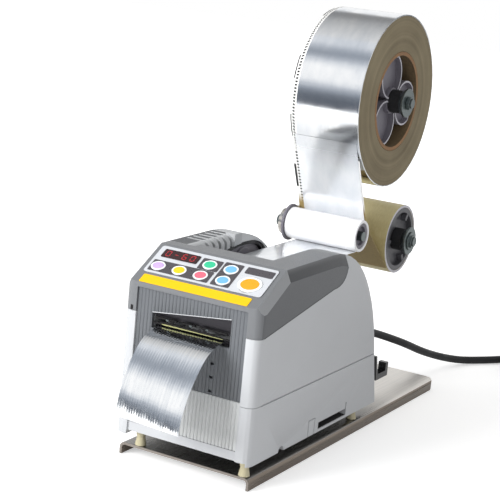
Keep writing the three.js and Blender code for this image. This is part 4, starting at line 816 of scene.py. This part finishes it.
def sweep(name, points, radii, sides, material, *replaced, slot=None):
    """A closed round tube along close points, with its radius at each."""
    form = bmesh.new()
    rings = []
    upward = Vector((0, 0, 1))
    last = len(points) - 1
    for index, point in enumerate(points):
        ahead = points[min(index + 1, last)] - points[max(index - 1, 0)]
        ahead.normalize()
        side = ahead.cross(upward)
        if side.length < 1e-4:
            side = Vector((1, 0, 0))
        side.normalize()
        upward = side.cross(ahead).normalized()
        ring = []
        for step in range(sides):
            turn = 2 * math.pi * step / sides
            offset = (side * math.cos(turn) + upward * math.sin(turn)) * radii[index]
            ring.append(form.verts.new(point + offset))
        rings.append(ring)
    close(form, rings)
    return add_form(name, form, 50, material, "base", *replaced, slot=slot)


# Nodes that are only welded and rounded, by the width of their edges in millimetres.
DRESSED = (
    (0.5, "lower_case upper_case"),
    (0.35, "arch_seal side_plate cable_hook"),
    (0.3, "foot_front_left foot_front_right foot_rear_left foot_rear_right stand_plate supply_shaft "
          "supply_flange supply_nut supply_friction_ring takeup_shaft takeup_flange takeup_nut "
          "takeup_friction_ring"),
    (0.25, "guide_shaft guide_flange guide_endcap"),
    (0.2, "feed_roller pressure_roller cutter_blade cutter_bed"),
    (0.15, "display_window"),
    (0.1, "control_overlay yellow_strip blank_field supply_foil"),
    (0.08, "key_field_row key_field_single key_field_pair"),
)


# Housing


def in_groove(face):
    """The side cover's grip grooves, which get painted shade."""
    if face.center.z < GROOVE_FOOT or face.center.x < GROOVE_OUTER:
        return False
    share = (face.center.y - FRONT - GROOVE_FRONT) / GROOVE_PITCH
    return 0 < share < GROOVE_COUNT and (share % 1) * GROOVE_PITCH < GROOVE_WIDTH


def make_hood_seam(side):
    """The dark joint line between the hood's side and the case below it."""
    form = welded(NODES["hood"].data)
    form.normal_update()
    level = HALF_WIDTH - 0.2 * MM
    flank = {face for face in form.faces
             if face.normal.x * side > 0.99 and face.calc_center_median().x * side > level}
    places = set()
    for edge in form.edges:
        inner = [face for face in edge.link_faces if face in flank]
        outer = [face for face in edge.link_faces if face not in flank]
        if inner and outer and outer[0].normal.z < 0.3 and outer[0].normal.y > -0.1:
            for vertex in edge.verts:
                places.add((round(vertex.co.z, 5), round(vertex.co.y, 5)))
    form.free()
    if len(places) > 1:
        points = [Vector((side * (HALF_WIDTH - SEAM_SUNK), y, z)) for z, y in sorted(places)]
        name = "hood_seam_right" if side > 0 else "hood_seam_left"
        sweep(name, points, [SEAM_RADIUS] * len(points), 8, SEAM_GREY, slot=SLOTS["hood"])


def make_housing():
    hood = dress("hood", 0.5 * MM)
    # Painted shade on the hood's flat sides.
    paint(hood, HOOD_SIDE_SHADE, lambda face: abs(face.normal.x) > 0.9 and abs(face.center.x) > HALF_WIDTH - 1 * MM)
    # Painted light and shade on the chamfer along the hood's top.
    paint(hood, HOOD_SHADE,
          lambda face: 0.2 < face.normal.z < 0.9 and face.normal.x > 0.3 and face.normal.y > -0.2)
    # A painted highlight on the chamfer along the hood's front slope.
    paint(hood, HOOD_HIGHLIGHT,
          lambda face: face.normal.z > 0.2 and face.normal.x > 0.3 and face.normal.y <= -0.2)
    # Painted shade in the side cover's grip grooves.
    paint(dress("left_side_cover", 0.5 * MM), GROOVE_SHADE, in_groove)
    make_hood_seam(1)
    make_hood_seam(-1)
    for node in ("front_panel", "lower_front_panel"):
        dress(node, 0.15 * MM, segments=1)
    # Near-black blocks in the side slot and the post's notch: painted shade.
    block("slot_back", SLOT_LOW, SLOT_HIGH, INSIDE_SHADE, "black_plastic", 0.1 * MM)
    block("slot_floor", SLOT_LOW, SLOT_FLOOR, INSIDE_SHADE, "black_plastic", 0.1 * MM)
    block("post_notch", NOTCH_LOW, NOTCH_HIGH, INSIDE_SHADE, "black_plastic", 0.1 * MM)


def make_base():
    # Painted shade and reflection towards the front of the base plate's top.
    plate = dress("base_plate", 0.3 * MM, material=PLATE_STEEL)
    # Painted shade on the plate's edges and its front rim.
    paint(plate, PLATE_EDGE_SHADE, lambda face: abs(face.normal.z) < 0.75)
    paint(plate, PLATE_RIM_SHADE, lambda face: face.normal.y < -0.9)


# Control panel


def on_slope(start, across, along, level):
    """A point across, up and out of the slope from another."""
    return start + Vector((
        across,
        along * math.cos(SLOPE) - level * math.sin(SLOPE),
        along * math.sin(SLOPE) + level * math.cos(SLOPE),
    ))


# The seven segments as ends, in shares of a digit's width and height.
SEGMENTS = {
    "a": ((0, 1), (1, 1)), "b": ((1, 1), (1, 0.5)), "c": ((1, 0.5), (1, 0)), "d": ((0, 0), (1, 0)),
    "e": ((0, 0.5), (0, 0)), "f": ((0, 1), (0, 0.5)), "g": ((0, 0.5), (1, 0.5)),
}
DIGITS = {"0": "abcdef", "6": "acdefg", "-": "g"}


def segment_bar(form, first, second):
    """One lit segment: a flat six-sided bar with pointed ends."""
    along = (second - first).normalized()
    side = Vector((-along.y, along.x)) * SEGMENT / 2
    start = first + along * SEGMENT * 0.7
    stop = second - along * SEGMENT * 0.7
    tip = along * SEGMENT / 2
    corners = [start - tip, start + side, stop + side, stop + tip, stop - side, start - side]
    levels = (DISPLAY_LEVEL, DISPLAY_LEVEL + SEGMENT_PROUD)
    close(form, [[form.verts.new(on_slope(PANEL_FOOT, *corner, level)) for corner in corners]
                 for level in levels])


def make_display():
    low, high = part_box("display_window")
    middle = (low.x + high.x) / 2
    along_middle = ((low.y + high.y) / 2 - PANEL_FOOT.y) / math.cos(SLOPE) + 0.5 * MM
    form = bmesh.new()
    first_left = middle - DIGIT_PITCH * (len(DISPLAY_TEXT) - 1) / 2 - DIGIT_WIDTH / 2
    for place, figure in enumerate(DISPLAY_TEXT):
        corner = Vector((first_left + place * DIGIT_PITCH, along_middle - DIGIT_HEIGHT / 2))
        for name in DIGITS[figure]:
            ends = [corner + Vector((x * DIGIT_WIDTH, y * DIGIT_HEIGHT)) for x, y in SEGMENTS[name]]
            segment_bar(form, *ends)
    add_form("display_figures", form, 30, DISPLAY_LIT, "base", slot="display_red")


def turned_on_panel(name, centre, profile, material, body, *replaced, slot=None):
    """An oval form standing on the slope, from radius and level pairs."""
    form = bmesh.new()
    rings = []
    for radius, level in profile:
        ring = []
        for step in range(KEY_SIDES):
            turn = 2 * math.pi * step / KEY_SIDES
            across, along = math.cos(turn) * radius * KEY_WIDE, math.sin(turn) * radius * KEY_TALL
            ring.append(form.verts.new(on_slope(centre, across, along, level)))
        rings.append(ring)
    close(form, rings)
    return add_form(name, form, 35, material, body, *replaced, slot=slot)


def make_keys():
    """Each key: a coloured cap that stands up out of a white ring."""
    for node in [name for name in NODES if name.startswith("button_")]:
        low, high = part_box(node)
        centre = (low + high) / 2
        radius = (high.x - low.x) / 2
        rise = (high.z - low.z) / 2 - radius * math.sin(SLOPE)
        top = rise / math.cos(SLOPE)
        ring = radius * KEY_CAP_SHARE
        ring_profile = ((radius, -top), (radius, top - 0.35 * MM), (radius - 0.2 * MM, top - 0.12 * MM),
                        (ring + 0.1 * MM, top - 0.12 * MM), (ring, top - 0.35 * MM))
        cap_profile = ((ring, top - 0.34 * MM), (ring, top - 0.2 * MM), (ring - 0.15 * MM, top - 0.05 * MM),
                       (ring * 0.8, top - 0.02 * MM), (ring * 0.4, top))
        turned_on_panel(f"{node}_ring", centre, ring_profile, KEY_RING, BODIES[node], slot="panel_film")
        turned_on_panel(f"{node}_cap", centre, cap_profile, MATERIALS[SLOTS[node]], BODIES[node], node)


# Tape outlet and rollers


def make_outlet():
    # The outlet bar and its slats are near-black: painted shade inside the outlet.
    dress("outlet_bar", 0.2 * MM, material=INSIDE_SHADE)
    low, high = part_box("outlet_bar")
    # A light line along the outlet's top edge: painted highlight.
    head = [Vector((x * MM, FRONT + OUTLET_EDGE_SETBACK, z * MM)) for x, z in OUTLET_HEAD]
    sweep("outlet_head_highlight", head, [OUTLET_EDGE_RADIUS] * len(head), 8, OUTLET_HIGHLIGHT,
          slot=SLOTS["front_panel"])
    # A brass line along the bar's edge: the brass colour with a painted highlight.
    lip = [Vector((x * MM, low.y - 0.3 * MM, low.z + 0.5 * MM)) for x, _ in LIP_LINE]
    sweep("outlet_lip", lip, [radius * MM for _, radius in LIP_LINE], 10, BRASS_LIP_HIGHLIGHT, slot="brassy_bar")
    for index, (left, right) in enumerate(SLATS):
        first = Vector((left * MM, low.y + 0.2 * MM, high.z - 1.5 * MM))
        second = Vector((right * MM, low.y + 1.6 * MM, high.z - 0.2 * MM))
        block(f"outlet_slat_{index + 1}", first, second, INSIDE_SHADE, "black_plastic")
    for index, (left, right) in enumerate(SPRINGS):
        first = Vector((left * MM, low.y - 0.2 * MM, high.z - 2.2 * MM))
        second = Vector((right * MM, low.y + 0.6 * MM, high.z - 0.6 * MM))
        block(f"outlet_spring_{index + 1}", first, second, MATERIALS["turned_steel"], "turned_steel")


# Reels


def make_supply_reel():
    hub = dress("supply_hub", 0.25 * MM)
    rim_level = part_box("supply_hub")[1].x - 0.6 * MM
    paint(hub, RIM_PALE, lambda face: face.center.x > rim_level and face.normal.x > 0.5)
    core = dress("supply_core", 0.3 * MM)
    paint(core, CORE_END, lambda face: face.normal.x > 0.5)
    wound = dress("supply_roll", 0.25 * MM, material=ROLL_SIDE)
    paint(wound, LINER_PRINT,
          lambda face: abs(face.normal.x) < 0.5 and axis_distance(face.center, SUPPLY) > LINER_FROM)


def axis_distance(place, axis):
    return math.hypot(place.y - axis.y, place.z - axis.z)


def make_takeup_reel():
    hub = dress("takeup_hub", 0.25 * MM, material=HUB_DEEP)
    rim = (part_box("takeup_hub")[1].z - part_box("takeup_hub")[0].z) / 2 - 1.2 * MM
    paint(hub, RIM_PALE, lambda face: axis_distance(face.center, TAKEUP) > rim)
    liner = dress("takeup_roll", 0.2 * MM)
    paint(liner, RIM_PALE, lambda face: face.normal.x > 0.5)


def tongue_route():
    """Points and slopes along the hanging end, bent as its table says and fitted to the solid."""
    low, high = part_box("tape_tongue")
    length = TONGUE_BENDS[-1][0]
    points, turns = [Vector((0, 0))], [math.radians(TONGUE_BENDS[0][1])]
    step_length = length / TONGUE_STEPS
    for step in range(1, TONGUE_STEPS + 1):
        along = (step - 0.5) * step_length
        for (start, first), (stop, second) in zip(TONGUE_BENDS, TONGUE_BENDS[1:]):
            if start <= along <= stop:
                turn = math.radians(first + (second - first) * (along - start) / (stop - start))
        points.append(points[-1] + Vector((-math.cos(turn), -math.sin(turn))) * step_length)
        turns.append(turn)
    reach = high.y - low.y - TONGUE_LEAN - TONGUE_SHEET + TONGUE_FORWARD
    drop = high.z - low.z - TONGUE_SHEET - TONGUE_RISE
    wide = reach / -min(point.x for point in points)
    tall = drop / -points[-1].y
    root = Vector((high.y, high.z - TONGUE_SHEET / 2))
    return [root + Vector((point.x * wide, point.y * tall)) for point in points], turns


def make_tongue():
    """The foil's hanging end: a thin sheet, leaning a little to one side, with soft waves along it."""
    low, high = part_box("tape_tongue")
    route, turns = tongue_route()
    form = bmesh.new()
    sheets = []
    for side in (1, -1):
        rows = []
        for index, (point, turn) in enumerate(zip(route, turns)):
            share = index / TONGUE_STEPS
            row = []
            for column in range(TONGUE_COLUMNS + 1):
                across = column / TONGUE_COLUMNS
                x = low.x + (high.x - low.x) * across
                fine = math.sin(x / TONGUE_FINE_WAVE[0] + 1.6 * math.sin(share * 9)) * TONGUE_FINE_WAVE[1]
                wide = math.sin(x / TONGUE_WIDE_WAVE[0] + share * 5) * TONGUE_WIDE_WAVE[1]
                wave = (fine + wide) * share
                lift = side * TONGUE_SHEET / 2 + wave
                lean = (across - 0.5) * TONGUE_LEAN * share ** 2
                row.append(form.verts.new((x, point.x - math.sin(turn) * lift - lean,
                                           point.y + math.cos(turn) * lift)))
            rows.append(row)
        sheets.append(rows)
    rings = [[*upper, *reversed(under)] for upper, under in zip(*sheets)]
    bridge(form, rings)
    for ring in (rings[0], rings[-1]):
        for column in range(TONGUE_COLUMNS):
            form.faces.new((ring[column], ring[column + 1], ring[-column - 2], ring[-column - 1]))
    add_form("tape_tongue_look", form, 40, TONGUE_FOIL, "base", "tape_tongue")


def make_tape():
    """The web hugs the reel as drawn, so its start can't be seen as a step."""
    web = dress("foil_web", angle=40, material=WEB_FOIL)
    for vertex in web.data.vertices:
        distance = axis_distance(vertex.co, SUPPLY)
        if distance < ROLL_RADIUS + WEB_NEAR:
            share = (ROLL_RADIUS + WEB_LIFT) / distance
            vertex.co.y = SUPPLY.y + (vertex.co.y - SUPPLY.y) * share
            vertex.co.z = SUPPLY.z + (vertex.co.z - SUPPLY.z) * share
    make_tongue()
    dress("liner_web", angle=40, material=LINER_PRINT)


# Cord


def smooth_route(points, steps):
    """Points along the centripetal curve through points, as the part's source draws it."""
    before = points[0] * 2 - points[1]
    after = points[-1] * 2 - points[-2]
    knots = [before, *points, after]
    spans = len(points) - 1
    route = []
    for step in range(steps + 1):
        where = min(step / steps * spans, spans - 1e-9)
        index = int(where)
        share = where - index
        route.append(curve_point(knots[index:index + 4], share))
    return route


def curve_point(knots, share):
    first, second, third, fourth = knots
    gaps = [(b - a).length ** 0.5 for a, b in ((first, second), (second, third), (third, fourth))]
    near, middle, far = gaps
    start = (second - first) / near - (third - first) / (near + middle) + (third - second) / middle
    stop = (third - second) / middle - (fourth - second) / (middle + far) + (fourth - third) / far
    start *= middle
    stop *= middle
    cubic = second * 2 - third * 2 + start + stop
    square = third * 3 - second * 3 - start * 2 - stop
    return second + start * share + square * share ** 2 + cubic * share ** 3


def coil_points(entry, heading):
    """Inward on the floor, up, and outward on top; ends in a straight tail."""
    side = Vector((heading.y, -heading.x, 0))
    centre = entry + heading * CORD_DIAMETER + side * COIL_RADIUS
    start_angle = math.atan2(-side.y, -side.x)
    half = COIL_LAYER_TURNS + COIL_RAMP_TURNS / 2
    steps = round(half * 2 * COIL_TURN_STEPS)
    points = [Vector((entry.x, entry.y, COIL_LOW))]
    for step in range(steps + 1):
        turns = step / steps * half * 2
        inward = min(turns, half * 2 - turns, COIL_LAYER_TURNS)
        climb = min(max((turns - COIL_LAYER_TURNS) / COIL_RAMP_TURNS, 0), 1)
        climb = climb * climb * (3 - 2 * climb)
        radius = COIL_RADIUS - inward * COIL_PITCH
        angle = start_angle - turns * math.tau
        level = COIL_LOW + COIL_PITCH * climb
        points.append(Vector((centre.x + math.cos(angle) * radius,
                              centre.y + math.sin(angle) * radius, level)))
    end_angle = start_angle - half * 2 * math.tau
    leave = Vector((math.sin(end_angle), -math.cos(end_angle), 0))
    points.append(points[-1] + leave * COIL_TAIL)
    return points, centre, start_angle, leave


def make_tie(centre, start_angle):
    """A thin flat band round the coil's turns."""
    angle = start_angle - TIE_TURNS * math.tau
    outward = Vector((math.cos(angle), math.sin(angle), 0))
    along = Vector((-outward.y, outward.x, 0)) * TIE_WIDTH / 2
    radius = CORD_DIAMETER / 2 + 0.2 * MM
    inner = COIL_RADIUS - COIL_PITCH * 2.7
    outer = COIL_RADIUS - COIL_PITCH * TIE_TURNS
    foot, head = 0.02 * MM, COIL_LOW + COIL_PITCH + radius
    corners = [(inner - radius, foot + radius), (inner, foot), (outer, foot), (outer + radius, foot + radius),
               (outer + radius, head - radius), (outer, head), (inner, head), (inner - radius, head - radius)]
    middle = Vector(((inner + outer) / 2, (foot + head) / 2))
    form = bmesh.new()
    loops = []
    for sunk, edge in ((0, -1), (0, 1), (TIE_THICKNESS, 1), (TIE_THICKNESS, -1)):
        loop = []
        for corner in corners:
            point = Vector(corner)
            point += (middle - point).normalized() * sunk
            level = Vector((centre.x, centre.y, point.y))
            loop.append(form.verts.new(level + outward * point.x + along * edge))
        loops.append(loop)
    bridge(form, [*loops, loops[0]])
    return add_form("coil_tie", form, 60, MATERIALS["black_plastic"], "base", slot="black_plastic")


def make_strain_relief():
    """A tapered sleeve with rings grooved into its narrow part."""
    low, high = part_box("strain_relief")
    level = (low.z + high.z) / 2
    root = high.z - level
    points, radii = [], []
    steps = RELIEF_RINGS * 4
    for step in range(steps + 1):
        share = step / steps
        ringed = max(share - RELIEF_BARE, 0)
        taper = (root - RELIEF_TIP) * ringed / (1 - RELIEF_BARE)
        groove = RELIEF_GROOVE if ringed and step % 4 in (1, 2) else 0
        points.append(Vector((0, low.y + (high.y - low.y) * share, level)))
        radii.append(root - taper - groove)
    sweep("strain_relief_look", points, radii, 20, MATERIALS["black_rubber"], "strain_relief")


def make_cord():
    low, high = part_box("strain_relief")
    level = (low.z + high.z) / 2
    start = Vector((0, high.y + SEAT_GAP, level))
    lead = Vector((0, high.y + CORD_LEAD, level))
    chosen = [Vector((x * MM, y * MM + FRONT, z * MM)) for x, y, z in CORD_ROUTE]
    free = smooth_route([start, lead, *chosen], CORD_STEPS)
    heading = free[-1] - free[-2]
    heading = Vector((heading.x, heading.y, 0)).normalized()
    entry = free[-1] + heading * SEAT_GAP
    coil, centre, start_angle, leave = coil_points(entry, heading)
    path = free + smooth_route(coil, len(coil) * 2)
    radii = [CORD_DIAMETER / 2] * len(path)
    rubber_sheath = MATERIALS["black_rubber"]
    cord = sweep("power_cord_look", path, radii, CORD_SIDES, rubber_sheath, "power_cord", "cord_coil")
    plug = dress("power_plug", 0.5 * MM)
    pin_start = (path[-1] + leave * (PLUG_BODY_END + SEAT_GAP)).dot(leave)
    paint(plug, MATERIALS["turned_steel"], lambda face: face.center.dot(leave) > pin_start)
    tie = make_tie(centre, start_angle)


bpy.context.scene.view_settings.view_transform = "Standard"
make_camera()
make_world()
make_floor()
make_card()
make_lamps()
for edge, names in DRESSED:
    for node in names.split():
        dress(node, edge * MM)
make_cord()
make_strain_relief()
make_housing()
make_base()
make_display()
make_keys()
make_outlet()
make_supply_reel()
dress("guide_roller", 0.6 * MM, segments=3)
make_takeup_reel()
make_tape()
